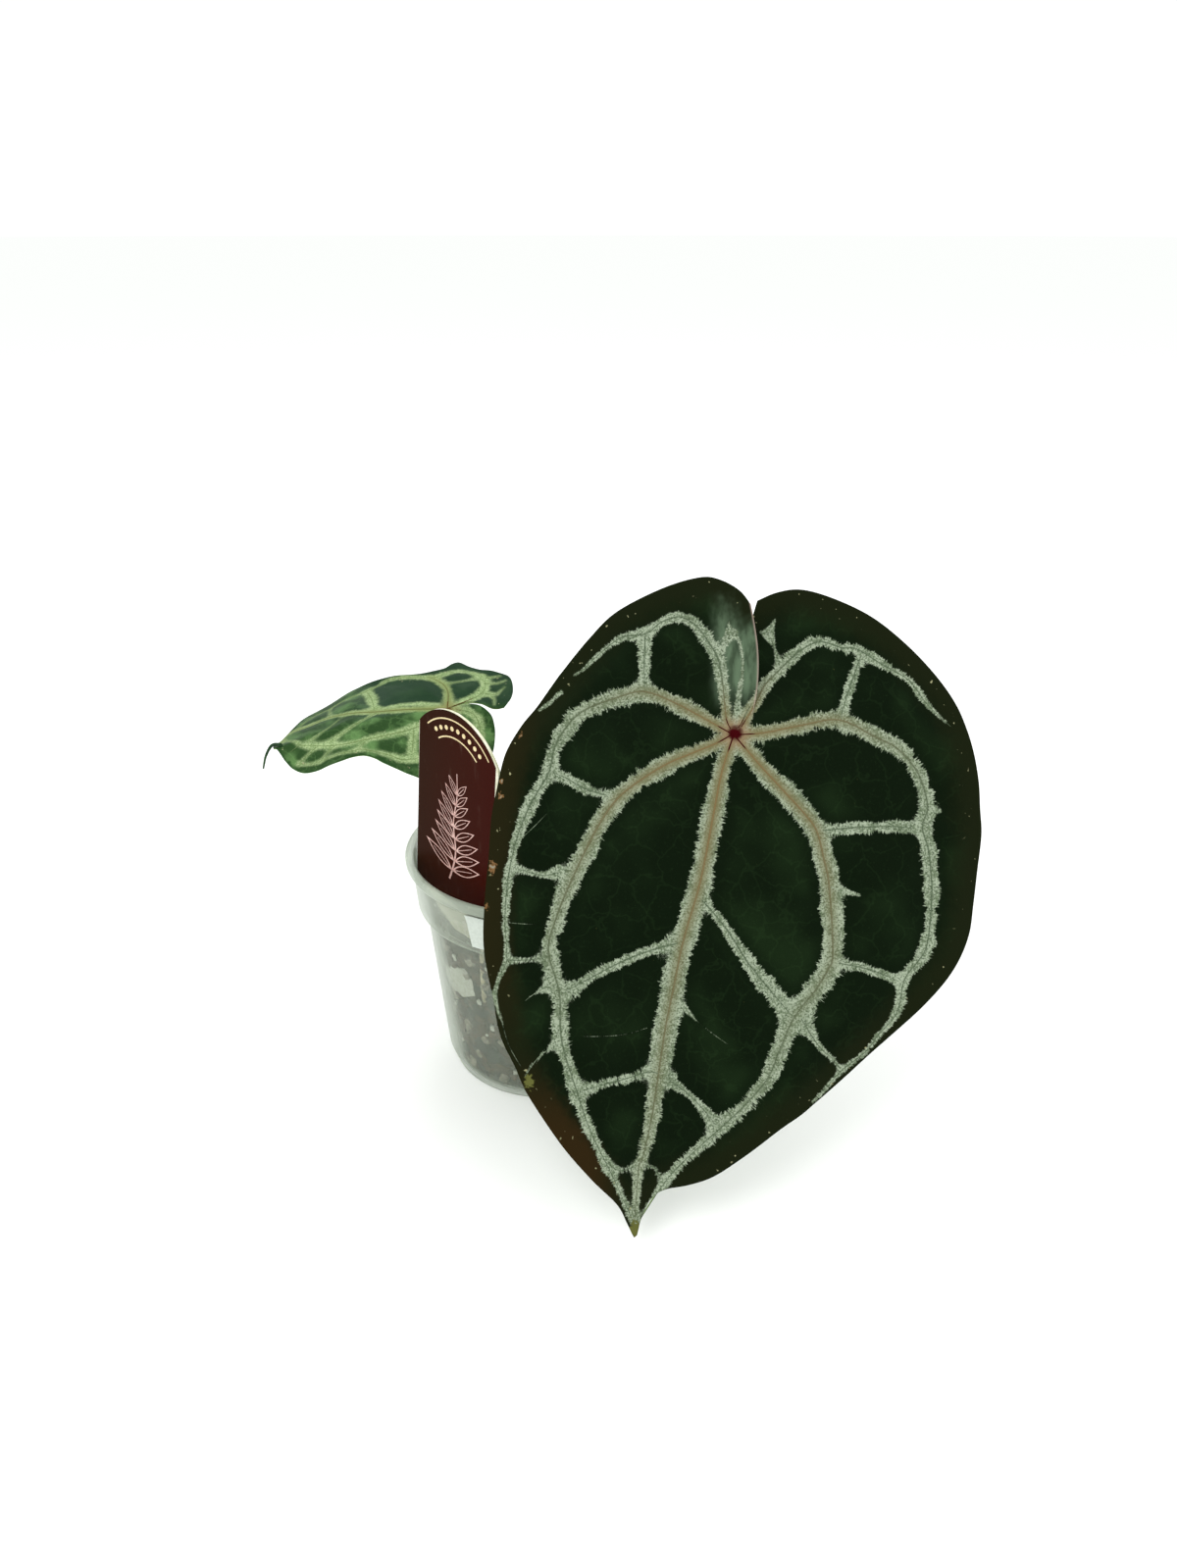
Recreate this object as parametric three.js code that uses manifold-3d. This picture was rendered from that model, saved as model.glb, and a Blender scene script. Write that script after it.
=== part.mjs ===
// A young velvet-leaved anthurium hybrid in a frosted 10 cm nursery pot, in millimetres, +Z up.
// The origin is the middle of the underside of the pot. The large leaf hangs to the front right.

import * as THREE from 'three';
import { mergeVertices } from 'three/addons/utils/BufferGeometryUtils.js';
import Module from 'manifold-3d';

const wasm = await Module();
wasm.setup();

// The gap that touching pieces keep between them.
const SEAT_GAP = 0.3;

// The pot: a rolled rim, an upper band, a ledge, a tapering wall and a small foot.
const POT_RIM_RADIUS = 50;
const POT_HEIGHT = 88.3;
const POT_RIM_DEPTH = 3.5;
const POT_WALL = 1;
const BAND_TOP_RADIUS = 47.7;
const BAND_FOOT_RADIUS = 46.4;
const LEDGE_HEIGHT = 68.6;
const WALL_TOP_RADIUS = 43.5;
const WALL_FOOT_RADIUS = 37.9;
const WALL_FOOT_HEIGHT = 6.5;
const FOOT_RADIUS = 35.9;
const FOOT_HEIGHT = 2.6;
const FLOOR_THICKNESS = 1.6;
const POT_SEGMENTS = 48;
const DRAIN_COUNT = 6;
const DRAIN_RADIUS = 3.5;
const DRAIN_CIRCLE = 24;

// The potting mix.
const MIX_TOP = 75;
const MIX_CHUNKS = 90;
const MIX_CHUNK_RISE = 3.6;
const MIX_CHUNK_SMALLEST = 3.5;
const MIX_CHUNK_REACH = 43;
const MIX_TOP_RADIUS = 43.4;
const MIX_SIDE_ROUGHNESS = 0.9;
const MIX_RINGS = 8;

// The stake label: an arched panel that narrows to a stake on its right.
const LABEL_WIDTH = 40.8;
const LABEL_SHOULDER = 46.8;
const LABEL_ARCH_RISE = 11.1;
const LABEL_THICKNESS = 0.8;
const LABEL_PANEL_FOOT = -12;
const LABEL_TIP = -52;
const LABEL_STAKE_MIDDLE = 7;
const LABEL_CENTRE = new THREE.Vector3(-29.5, -25.5, 94.6);
const LABEL_ACROSS = new THREE.Vector3(0.694, -0.708, -0.1355);
const LABEL_UP = new THREE.Vector3(0.0844, -0.1055, 0.9895);

// The sticker on the band, from its left edge round towards the front.
const STICKER_LENGTH = 30;
const STICKER_LEFT_ANGLE = THREE.MathUtils.degToRad(-121);
const STICKER_FOOT = 70.4;
const STICKER_TOP = 83.2;
const STICKER_THICKNESS = 0.4;

// The stem and what grows from it.
const CROWN_RADIUS = 6.6;
const CROWN_TOP = 96;
const LARGE_PETIOLE_RADIUS = 2.3;
const SMALL_PETIOLE_RADIUS = 1.5;
const ROOT_RADIUS = 1.25;
const ROOT_SIDES = 6;
const ROOT_STEPS = 11;

// The blades.
const LARGE_BLADE_THICKNESS = 0.9;
const LARGE_BLADE_SCALE = 0.3;
const LARGE_RAYS = 84;
const LARGE_STEPS = 13;
const SMALL_BLADE_THICKNESS = 0.8;
const SMALL_RAYS = 54;
const SMALL_STEPS = 8;
const VEIN_GROOVE_WIDTH = 4;
const VEIN_RIB_WIDTH = 3;
const NOTCH_BEND_REACH = 25;

// The view in which the leaves' outlines were read, as points in a frame 1200 wide and 1599 tall.
const VIEW_POINT = new THREE.Vector3(17, -380.8, 294.6);
const VIEW_PITCH = THREE.MathUtils.degToRad(25.56);
const VIEW_FOCAL = 1200;
const VIEW_CENTRE = [600, 799.5];
const VIEW_AXIS = new THREE.Vector3(0, Math.cos(VIEW_PITCH), -Math.sin(VIEW_PITCH));
const VIEW_UP = new THREE.Vector3(0, Math.sin(VIEW_PITCH), Math.cos(VIEW_PITCH));
const VIEW_RIGHT = new THREE.Vector3(1, 0, 0);
const LARGE_BLADE_DEPTH = VIEW_FOCAL * LARGE_BLADE_SCALE;

const LARGE_HUB = [750, 748];
const LARGE_OUTLINE = [
  [763, 621], [752, 607], [733, 596], [713, 593], [675, 603], [629, 625], [601, 651], [572, 686],
  [548, 720], [532, 741], [516, 769], [507, 802], [500, 834], [497, 874], [494, 915], [494, 965],
  [503, 1019], [509, 1055], [523, 1087], [536, 1116], [570, 1164], [602, 1200], [629, 1228],
  [640, 1250], [648, 1264], [654, 1246], [664, 1226], [679, 1216], [702, 1210], [727, 1200],
  [758, 1178], [794, 1151], [827, 1130], [864, 1100], [900, 1066], [938, 1027], [969, 990],
  [987, 956], [994, 924], [999, 888], [1002, 852], [999, 824], [996, 796], [989, 761], [978, 726],
  [961, 696], [938, 668], [911, 644], [882, 625], [842, 607], [815, 600], [792, 603], [773, 611],
];
const LARGE_LEFT_SINUS = [
  LARGE_HUB, [758, 739], [767, 728], [771, 707], [771, 680], [768, 648], [763, 621],
];
const LARGE_RIGHT_SINUS = [
  LARGE_HUB, [759, 743], [770, 733], [776, 712], [773, 690], [769, 660], [773, 611],
];
const LARGE_VEINS = [
  [[748, 750], [736, 788], [714, 900], [697, 959], [678, 1052], [657, 1175], [648, 1246]],
  [[746, 749], [703, 769], [641, 804], [605, 851], [573, 911], [559, 971], [572, 1061], [602, 1153],
    [645, 1246]],
  [[737, 745], [685, 715], [632, 710], [576, 742], [539, 822], [514, 918], [516, 977], [504, 1016]],
  [[744, 734], [730, 681], [707, 642], [690, 632], [658, 647], [605, 672], [585, 688]],
  [[751, 754], [799, 806], [833, 847], [848, 936], [845, 990], [810, 1039], [763, 1123], [702, 1182],
    [653, 1244]],
  [[752, 750], [815, 740], [892, 751], [933, 783], [947, 824], [951, 892], [945, 963], [915, 1033],
    [861, 1093]],
  [[755, 742], [787, 695], [815, 664], [836, 654], [874, 661], [928, 693], [967, 738]],
  [[691, 962], [632, 982], [573, 1014]],
  [[716, 918], [763, 982], [810, 1039]],
  [[840, 847], [874, 844], [933, 845]],
];

const SMALL_HUB = [458, 722];
const SMALL_OUTLINE = [
  [514, 721], [521, 713], [523, 703], [519, 691], [504, 684], [490, 681], [478, 677], [468, 673],
  [460, 675], [452, 680], [434, 686], [418, 689], [399, 691], [384, 694], [366, 699], [352, 705],
  [336, 716], [315, 731], [301, 743], [287, 753], [277, 759], [287, 770], [292, 777], [298, 783],
  [307, 788], [315, 789], [325, 787], [336, 782], [348, 777], [359, 772], [371, 769], [382, 771],
  [390, 775], [404, 781], [418, 788], [440, 797], [462, 798], [482, 790], [497, 778], [503, 765],
  [505, 748], [504, 737], [501, 728], [494, 721],
];
const SMALL_FAR_SINUS = [SMALL_HUB, [468, 716], [480, 714], [492, 717], [503, 721], [514, 721]];
const SMALL_NEAR_SINUS = [SMALL_HUB, [466, 718.5], [476, 716.5], [486, 717.5], [494, 721]];
const SMALL_VEINS = [
  [[458, 722], [420, 723], [385, 726], [366, 727], [335, 734], [310, 744], [291, 753]],
  [[458, 722], [440, 742], [400, 750], [375, 754], [348, 758], [324, 758], [290, 753]],
  [[458, 722], [455, 703], [447, 693], [418, 692], [384, 696], [366, 707], [347, 716], [336, 724]],
  [[458, 722], [471, 712], [488, 703], [492, 693], [514, 691]],
  [[373, 702], [382, 711], [384, 722]],
  [[422, 746], [420, 772], [400, 769], [375, 765], [338, 773], [310, 780]],
];

// The hooked tip of the small blade: where it starts inside the blade, and how far its bends
// lie from the blade's own tip.
const DRIP_TIP_START = [286, 759];
const SMALL_TIP = [277, 759];
const DRIP_TIP_BENDS = [[-2.1, -2, -3.2], [-3, -4.2, -7.4]];
const DRIP_TIP_RADIUS = 0.75;

const MATERIALS = {
  pot: { color: 0xc9d3c6, roughness: 0.45 },
  mix: { color: 0x5b4a38, roughness: 0.95 },
  largeBlade: { color: 0x16261a, roughness: 0.6 },
  smallBlade: { color: 0x3f6b33, roughness: 0.55 },
  petiole: { color: 0x6d7f45, roughness: 0.5 },
  crown: { color: 0x7a8a58, roughness: 0.7 },
  sheath: { color: 0x8a6a42, roughness: 0.85 },
  label: { color: 0x472322, roughness: 0.3 },
  sticker: { color: 0xf1f2ee, roughness: 0.7 },
};

function seededRandom(seed) {
  let state = seed;
  return () => {
    state = (state * 1664525 + 1013904223) % 4294967296;
    return state / 4294967296;
  };
}

function smoothStep(low, high, value) {
  return THREE.MathUtils.smoothstep(value, low, high);
}

function geometryFrom(points, triangles) {
  const geometry = new THREE.BufferGeometry().setFromPoints(points);
  geometry.setIndex(triangles.flat());
  return geometry;
}

function solidFrom(geometry) {
  const bare = geometry.clone();
  bare.deleteAttribute('normal');
  bare.deleteAttribute('uv');
  const merged = mergeVertices(bare, 1e-4);
  return new wasm.Manifold(new wasm.Mesh({
    numProp: 3,
    vertProperties: new Float32Array(merged.attributes.position.array),
    triVerts: new Uint32Array(merged.index.array),
  }));
}

function geometryOf(solid) {
  const mesh = solid.getMesh();
  const geometry = new THREE.BufferGeometry();
  geometry.setAttribute('position', new THREE.BufferAttribute(mesh.vertProperties, 3));
  geometry.setIndex(new THREE.BufferAttribute(mesh.triVerts, 1));
  return geometry;
}

// A closed solid of rings of points, each turning to the left about the way they run.
function ringedGeometry(rings) {
  const count = rings[0].length;
  const points = rings.flat();
  const triangles = [];
  for (let ring = 0; ring < rings.length - 1; ring += 1) {
    for (let i = 0; i < count; i += 1) {
      const a = ring * count + i;
      const b = ring * count + (i + 1) % count;
      triangles.push([a, b, b + count], [a, b + count, a + count]);
    }
  }
  const capCentre = (ring) => {
    const centre = ring.reduce((sum, point) => sum.add(point), new THREE.Vector3());
    points.push(centre.divideScalar(count));
    return points.length - 1;
  };
  const first = capCentre(rings[0]);
  const last = capCentre(rings[rings.length - 1]);
  const lastRing = (rings.length - 1) * count;
  for (let i = 0; i < count; i += 1) {
    const next = (i + 1) % count;
    triangles.push([first, next, i], [last, lastRing + i, lastRing + next]);
  }
  return geometryFrom(points, triangles);
}

function taperedTube(route, radiusAt, sides, steps) {
  const curve = new THREE.CatmullRomCurve3(route.map((point) => new THREE.Vector3(...point)));
  const frames = curve.computeFrenetFrames(steps);
  const rings = [];
  for (let step = 0; step <= steps; step += 1) {
    const along = step / steps;
    const centre = curve.getPointAt(along);
    const ring = [];
    for (let side = 0; side < sides; side += 1) {
      const angle = (side / sides) * 2 * Math.PI;
      const offset = frames.normals[step].clone().multiplyScalar(Math.cos(angle));
      offset.addScaledVector(frames.binormals[step], Math.sin(angle));
      ring.push(centre.clone().addScaledVector(offset, radiusAt(along)));
    }
    rings.push(ring);
  }
  return ringedGeometry(rings);
}

// The pot's outer and inner walls, as [radius, height].
const POT_OUTER = [
  [FOOT_RADIUS - 0.4, 0],
  [FOOT_RADIUS, 0.6],
  [FOOT_RADIUS, FOOT_HEIGHT],
  [WALL_FOOT_RADIUS - 0.8, FOOT_HEIGHT + 1.2],
  [WALL_FOOT_RADIUS, WALL_FOOT_HEIGHT],
  [WALL_TOP_RADIUS, LEDGE_HEIGHT - 2.2],
  [BAND_FOOT_RADIUS - 0.3, LEDGE_HEIGHT - 0.9],
  [BAND_FOOT_RADIUS, LEDGE_HEIGHT],
  [BAND_TOP_RADIUS, POT_HEIGHT - POT_RIM_DEPTH],
  [POT_RIM_RADIUS - 0.6, POT_HEIGHT - POT_RIM_DEPTH],
  [POT_RIM_RADIUS, POT_HEIGHT - POT_RIM_DEPTH + 0.8],
  [POT_RIM_RADIUS, POT_HEIGHT - 1],
  [POT_RIM_RADIUS - 0.7, POT_HEIGHT],
];
const POT_INNER = [
  [FOOT_RADIUS - 1.2, FLOOR_THICKNESS],
  [WALL_FOOT_RADIUS - 1.7, FOOT_HEIGHT + 2.4],
  [WALL_FOOT_RADIUS - POT_WALL, WALL_FOOT_HEIGHT + 0.6],
  [WALL_TOP_RADIUS - POT_WALL, LEDGE_HEIGHT - 1.6],
  [BAND_FOOT_RADIUS - POT_WALL, LEDGE_HEIGHT + 0.8],
  [BAND_TOP_RADIUS - POT_WALL, POT_HEIGHT - POT_RIM_DEPTH],
  [BAND_TOP_RADIUS - POT_WALL + 0.3, POT_HEIGHT - 0.8],
  [BAND_TOP_RADIUS - POT_WALL + 1.2, POT_HEIGHT],
];

function potInnerRadius(height) {
  const above = POT_INNER.findIndex(([, level]) => level >= height);
  const [highRadius, highLevel] = POT_INNER[above];
  const [lowRadius, lowLevel] = POT_INNER[above - 1];
  return THREE.MathUtils.mapLinear(height, lowLevel, highLevel, lowRadius, highRadius);
}

function makePot() {
  const profile = [[0, 0], ...POT_OUTER, ...POT_INNER.toReversed(), [0, FLOOR_THICKNESS]];
  const lathe = new THREE.LatheGeometry(profile.map(([r, z]) => new THREE.Vector2(r, z)), POT_SEGMENTS);
  lathe.rotateX(Math.PI / 2);
  let pot = solidFrom(lathe);
  for (let i = 0; i < DRAIN_COUNT; i += 1) {
    const angle = ((i + 0.5) / DRAIN_COUNT) * 2 * Math.PI;
    const drain = new THREE.CylinderGeometry(DRAIN_RADIUS, DRAIN_RADIUS, 4 * FLOOR_THICKNESS, 12);
    drain.rotateX(Math.PI / 2);
    drain.translate(DRAIN_CIRCLE * Math.cos(angle), DRAIN_CIRCLE * Math.sin(angle), 0);
    pot = pot.subtract(solidFrom(drain));
  }
  return geometryOf(pot);
}

// The stem, with a ring at each old leaf scar.
const CROWN_PROFILE = [
  [0, 56], [3, 57], [5.2, 62], [CROWN_RADIUS, 70], [CROWN_RADIUS, 75], [CROWN_RADIUS - 0.6, 76],
  [CROWN_RADIUS - 0.1, 80], [CROWN_RADIUS - 0.8, 81], [CROWN_RADIUS - 0.3, 86], [CROWN_RADIUS - 0.8, 90],
  [4.6, 94], [2.4, CROWN_TOP - 0.4], [0, CROWN_TOP],
];

// The roots, each from inside the stem out over the mix and down beside the wall.
const ROOT_ROUTES = [
  [[-2, 0, 72], [-14, -1, 78], [-30, -1, 79], [-39, -2, 73], [-38.8, -6, 60], [-37, -11, 46],
    [-34.5, -14, 33]],
  [[0, -2, 71], [-4, -14, 78], [-11, -29, 77], [-19, -34.8, 67], [-20.2, -34, 56], [-20, -33, 42],
    [-17, -31, 31]],
  [[2, 1, 72], [14, 10, 78], [28, 22, 78], [33, 24, 69], [31.5, 23, 54], [28, 21, 42]],
  [[-1, 2, 73], [-6, 15, 79], [-13, 31, 77], [-15, 37, 66], [-14, 35, 52]],
  [[2, -1, 73], [14, -6, 79], [30, -11, 78], [38, -13, 69], [37, -14, 55], [34, -16, 40]],
];

function rootSolid(route, extra) {
  const radiusAt = (along) => ROOT_RADIUS * (1.25 - 0.5 * along) + extra;
  return solidFrom(taperedTube(route, radiusAt, ROOT_SIDES, ROOT_STEPS));
}

function crownSolid(extra) {
  const profile = CROWN_PROFILE.map(([r, z]) => new THREE.Vector2(r > 0 ? r + extra : 0, z));
  profile[0].y -= extra;
  const lathe = new THREE.LatheGeometry(profile, 14);
  lathe.rotateX(Math.PI / 2);
  return solidFrom(lathe);
}

function crownAndRoots(extra) {
  return ROOT_ROUTES.reduce((solid, route) => solid.add(rootSolid(route, extra)), crownSolid(extra));
}

// The stalks, from a socket in the stem to the back of each blade.
const LARGE_PETIOLE_ROUTE = [
  [2.6, -1.6, 90], [7, -4, 102], [21, -9, 124], [40, -19, 144], [54, -31, 153.5], [60.6, -41.5, 155.2],
];
const SMALL_PETIOLE_ROUTE = [
  [-2.2, 1.2, 90], [-5.5, 4, 96], [-11, 8, 101.5], [-19, 14, 110], [-28, 20.5, 119],
];

// How far under a blade's hub its stalk ends, clear of the rib and of the slopes on both sides.
const LARGE_SEAT_DEPTH = 2.4;
const SMALL_SEAT_DEPTH = 2.6;
const STALK_OVERRUN = 1.5;
const STALK_TRIM_WIDTH = 16;
const STALK_TRIM_DEPTH = 6;
const STALK_SIDES = 9;
const STALK_STEPS = 18;

// A stalk's thickening at its foot and in the joint just under the blade, as shares of its radius.
const STALK_FOOT_SWELL = 0.45;
const STALK_JOINT_SWELL = 0.22;

function petioleGeometry(blade, route, radius, seatDepth, extra) {
  const hub = blade.base(0, 0);
  const normal = blade.normal(0, 0);
  const end = hub.clone().addScaledVector(normal, STALK_OVERRUN - seatDepth);
  const radiusAt = (along) => radius * (1 + STALK_FOOT_SWELL * (1 - smoothStep(0, 0.16, along)))
    + radius * STALK_JOINT_SWELL * smoothStep(0.84, 0.92, along) + extra;
  const stalk = solidFrom(taperedTube([...route, end.toArray()], radiusAt, STALK_SIDES, STALK_STEPS));
  const trim = new THREE.BoxGeometry(STALK_TRIM_WIDTH, STALK_TRIM_WIDTH, STALK_TRIM_DEPTH);
  const turn = new THREE.Quaternion().setFromUnitVectors(new THREE.Vector3(0, 0, 1), normal);
  trim.applyQuaternion(turn);
  const trimCentre = hub.addScaledVector(normal, STALK_TRIM_DEPTH / 2 - seatDepth);
  trim.translate(...trimCentre);
  return geometryOf(stalk.subtract(solidFrom(trim)));
}

function largePetiole(extra) {
  return petioleGeometry(largeBlade, LARGE_PETIOLE_ROUTE, LARGE_PETIOLE_RADIUS, LARGE_SEAT_DEPTH, extra);
}

function smallPetiole(extra) {
  return petioleGeometry(smallBlade, SMALL_PETIOLE_ROUTE, SMALL_PETIOLE_RADIUS, SMALL_SEAT_DEPTH, extra);
}

function makeCrown() {
  let crown = crownAndRoots(0);
  crown = crown.subtract(solidFrom(largePetiole(SEAT_GAP)));
  crown = crown.subtract(solidFrom(smallPetiole(SEAT_GAP)));
  return geometryOf(crown);
}

// The papery sheaths: one torn collar round the stem, with a point between each two stalks.
const SHEATH_POINTS = [{ angle: 62, rise: 20 }, { angle: 212, rise: 11 }, { angle: 265, rise: 15 }];
const SHEATH_FOOT = 81;
const SHEATH_THICKNESS = 0.7;
const SHEATH_LOWEST_RISE = 3;
const SHEATH_POINT_SPREAD = 42;
const SHEATH_FLARE = 0.012;
const SHEATH_SEGMENTS = 30;
const SHEATH_LEVELS = 3;

function makeSheaths() {
  const points = [];
  const triangles = [];
  const loop = 2 * (SHEATH_LEVELS + 1);
  for (let i = 0; i < SHEATH_SEGMENTS; i += 1) {
    const angle = (i / SHEATH_SEGMENTS) * 360;
    const rise = SHEATH_POINTS.reduce((highest, point) => {
      const away = Math.abs(((angle - point.angle + 540) % 360) - 180);
      return Math.max(highest, point.rise * Math.max(0, 1 - away / SHEATH_POINT_SPREAD) ** 0.8);
    }, SHEATH_LOWEST_RISE);
    const level = (step, extra) => {
      const height = SHEATH_FOOT + rise * (step / SHEATH_LEVELS);
      const flare = SHEATH_FLARE * (height - SHEATH_FOOT) ** 2;
      const radius = CROWN_RADIUS + SEAT_GAP + flare + extra;
      const turn = THREE.MathUtils.degToRad(angle);
      return new THREE.Vector3(radius * Math.cos(turn), radius * Math.sin(turn), height);
    };
    for (let step = 0; step <= SHEATH_LEVELS; step += 1) {
      points.push(level(step, SHEATH_THICKNESS));
    }
    for (let step = SHEATH_LEVELS; step >= 0; step -= 1) {
      points.push(level(step, 0));
    }
    for (let j = 0; j < loop; j += 1) {
      const a = i * loop + j;
      const b = i * loop + (j + 1) % loop;
      const c = ((i + 1) % SHEATH_SEGMENTS) * loop + (j + 1) % loop;
      const d = ((i + 1) % SHEATH_SEGMENTS) * loop + j;
      triangles.push([a, d, c], [a, c, b]);
    }
  }
  return geometryFrom(points, triangles);
}

// The stake's sides below the panel, each from its outer end, as [across, up] from the label's centre.
const STAKE_RIGHT = [[11.5, LABEL_TIP + 8], [12, -27]];
const STAKE_LEFT = [[2, -30], [2.5, LABEL_TIP + 8]];

function labelShape(extra) {
  const half = LABEL_WIDTH / 2 + extra;
  const arch = (half ** 2 + LABEL_ARCH_RISE ** 2) / (2 * LABEL_ARCH_RISE);
  const spread = Math.asin(half / arch);
  const shape = new THREE.Shape();
  shape.moveTo(LABEL_STAKE_MIDDLE, LABEL_TIP - extra);
  STAKE_RIGHT.forEach(([across, up]) => shape.lineTo(across + extra, up));
  shape.lineTo(half, LABEL_PANEL_FOOT);
  shape.lineTo(half, LABEL_SHOULDER);
  const archCentre = LABEL_SHOULDER + LABEL_ARCH_RISE - arch;
  shape.absarc(0, archCentre, arch, Math.PI / 2 - spread, Math.PI / 2 + spread, false);
  shape.lineTo(-half, LABEL_PANEL_FOOT);
  STAKE_LEFT.forEach(([across, up]) => shape.lineTo(across - extra, up));
  shape.closePath();
  return shape;
}

function labelGeometry(extra) {
  const settings = { depth: LABEL_THICKNESS + 2 * extra, bevelEnabled: false, curveSegments: 20 };
  const label = new THREE.ExtrudeGeometry(labelShape(extra), settings);
  label.translate(0, 0, -LABEL_THICKNESS - extra);
  return label;
}

function labelPlacement() {
  const facing = new THREE.Vector3().crossVectors(LABEL_ACROSS, LABEL_UP).normalize();
  const up = new THREE.Vector3().crossVectors(facing, LABEL_ACROSS).normalize();
  const across = new THREE.Vector3().crossVectors(up, facing);
  return new THREE.Matrix4().makeBasis(across, up, facing).setPosition(LABEL_CENTRE);
}

// The mix: a filled pot's worth of bark, pumice and perlite, with a chunky top.
function mixChunks() {
  const random = seededRandom(11);
  const chunks = [];
  for (let i = 0; i < MIX_CHUNKS; i += 1) {
    const distance = MIX_CHUNK_REACH * Math.sqrt(random());
    const angle = 2 * Math.PI * random();
    const size = MIX_CHUNK_SMALLEST * (1 + random());
    const rise = MIX_CHUNK_RISE * (0.35 + 0.65 * random());
    chunks.push({ x: distance * Math.cos(angle), y: distance * Math.sin(angle), size, rise });
  }
  return chunks;
}

function makeMix() {
  const chunks = mixChunks();
  const topAt = (x, y) => chunks.reduce((highest, chunk) => {
    const away = Math.hypot(x - chunk.x, y - chunk.y) / chunk.size;
    return Math.max(highest, MIX_TOP + chunk.rise * Math.sqrt(Math.max(0, 1 - away * away)));
  }, MIX_TOP);
  const ringAt = (radiusAt, heightAt) => {
    const ring = [];
    for (let i = 0; i < POT_SEGMENTS; i += 1) {
      const angle = (i / POT_SEGMENTS) * 2 * Math.PI;
      const radius = radiusAt(i);
      const x = radius * Math.cos(angle);
      const y = radius * Math.sin(angle);
      ring.push(new THREE.Vector3(x, y, heightAt(x, y)));
    }
    return ring;
  };
  const random = seededRandom(5);
  const rings = [];
  const inside = POT_INNER.filter(([, level]) => level < MIX_TOP).map(([, level]) => level);
  const sideLevels = [...inside, 20, 35, 50, MIX_TOP].sort((a, b) => a - b);
  sideLevels.forEach((level) => {
    const height = level === FLOOR_THICKNESS ? level + SEAT_GAP : level;
    const edge = potInnerRadius(height) - SEAT_GAP - 0.05;
    rings.push(ringAt(() => edge - MIX_SIDE_ROUGHNESS * random(), () => height));
  });
  for (let ring = 0; ring < MIX_RINGS; ring += 1) {
    const share = 1 - (ring + 0.4) / (MIX_RINGS + 0.4);
    rings.push(ringAt(() => MIX_TOP_RADIUS * share, topAt));
  }
  let mix = solidFrom(ringedGeometry(rings));
  mix = mix.subtract(crownAndRoots(SEAT_GAP));
  mix = mix.subtract(solidFrom(labelGeometry(SEAT_GAP).applyMatrix4(labelPlacement())));
  return geometryOf(mix);
}

function makeSticker() {
  const bandRadius = (height) => THREE.MathUtils.mapLinear(
    height, LEDGE_HEIGHT, POT_HEIGHT - POT_RIM_DEPTH, BAND_FOOT_RADIUS, BAND_TOP_RADIUS);
  const steps = 12;
  const rings = [];
  for (let i = 0; i <= steps; i += 1) {
    const turn = STICKER_LEFT_ANGLE + (i / steps) * (STICKER_LENGTH / BAND_TOP_RADIUS);
    const corner = (height, extra) => {
      const radius = bandRadius(height) + SEAT_GAP + extra;
      return new THREE.Vector3(radius * Math.cos(turn), radius * Math.sin(turn), height);
    };
    rings.push([
      corner(STICKER_FOOT, 0),
      corner(STICKER_TOP, 0),
      corner(STICKER_TOP, STICKER_THICKNESS),
      corner(STICKER_FOOT, STICKER_THICKNESS),
    ]);
  }
  return ringedGeometry(rings);
}

// A line of the reference view through a point of its frame, one unit deep along the view's axis.
function viewLine([x, y]) {
  return VIEW_AXIS.clone()
    .addScaledVector(VIEW_RIGHT, (x - VIEW_CENTRE[0]) / VIEW_FOCAL)
    .addScaledVector(VIEW_UP, (VIEW_CENTRE[1] - y) / VIEW_FOCAL);
}

function distanceToPath([a, b], path) {
  let nearest = Infinity;
  for (let i = 0; i < path.length - 1; i += 1) {
    const [startA, startB] = path[i];
    const runA = path[i + 1][0] - startA;
    const runB = path[i + 1][1] - startB;
    const along = ((a - startA) * runA + (b - startB) * runB) / (runA * runA + runB * runB);
    const held = THREE.MathUtils.clamp(along, 0, 1);
    nearest = Math.min(nearest, Math.hypot(a - startA - held * runA, b - startB - held * runB));
  }
  return nearest;
}

// The direction square to a blade, on its upper side.
function bladeNormal(base, a, b) {
  const alongA = base(a + 0.5, b).sub(base(a - 0.5, b));
  const alongB = base(a, b + 0.5).sub(base(a, b - 0.5));
  return alongA.cross(alongB).normalize();
}

// The large blade lies square to the view: a runs to its right and b up it, from the hub. It bows
// away from the view to both sides of the midrib and towards both ends.
const LARGE_ACROSS_MIDRIB = [0.981, -0.194];
const LARGE_CROSS_BOW = 850;
const LARGE_LENGTH_BOW = 2000;
const LARGE_BOW_CENTRE = -45;
const LARGE_HUB_RISE = 1;
const LEFT_LOBE_RISE = 6;
const RIGHT_LOBE_FALL = 2;
const LARGE_EDGE_WAVE = 1.5;
const LARGE_WAVE_TURNS = 47;

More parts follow.
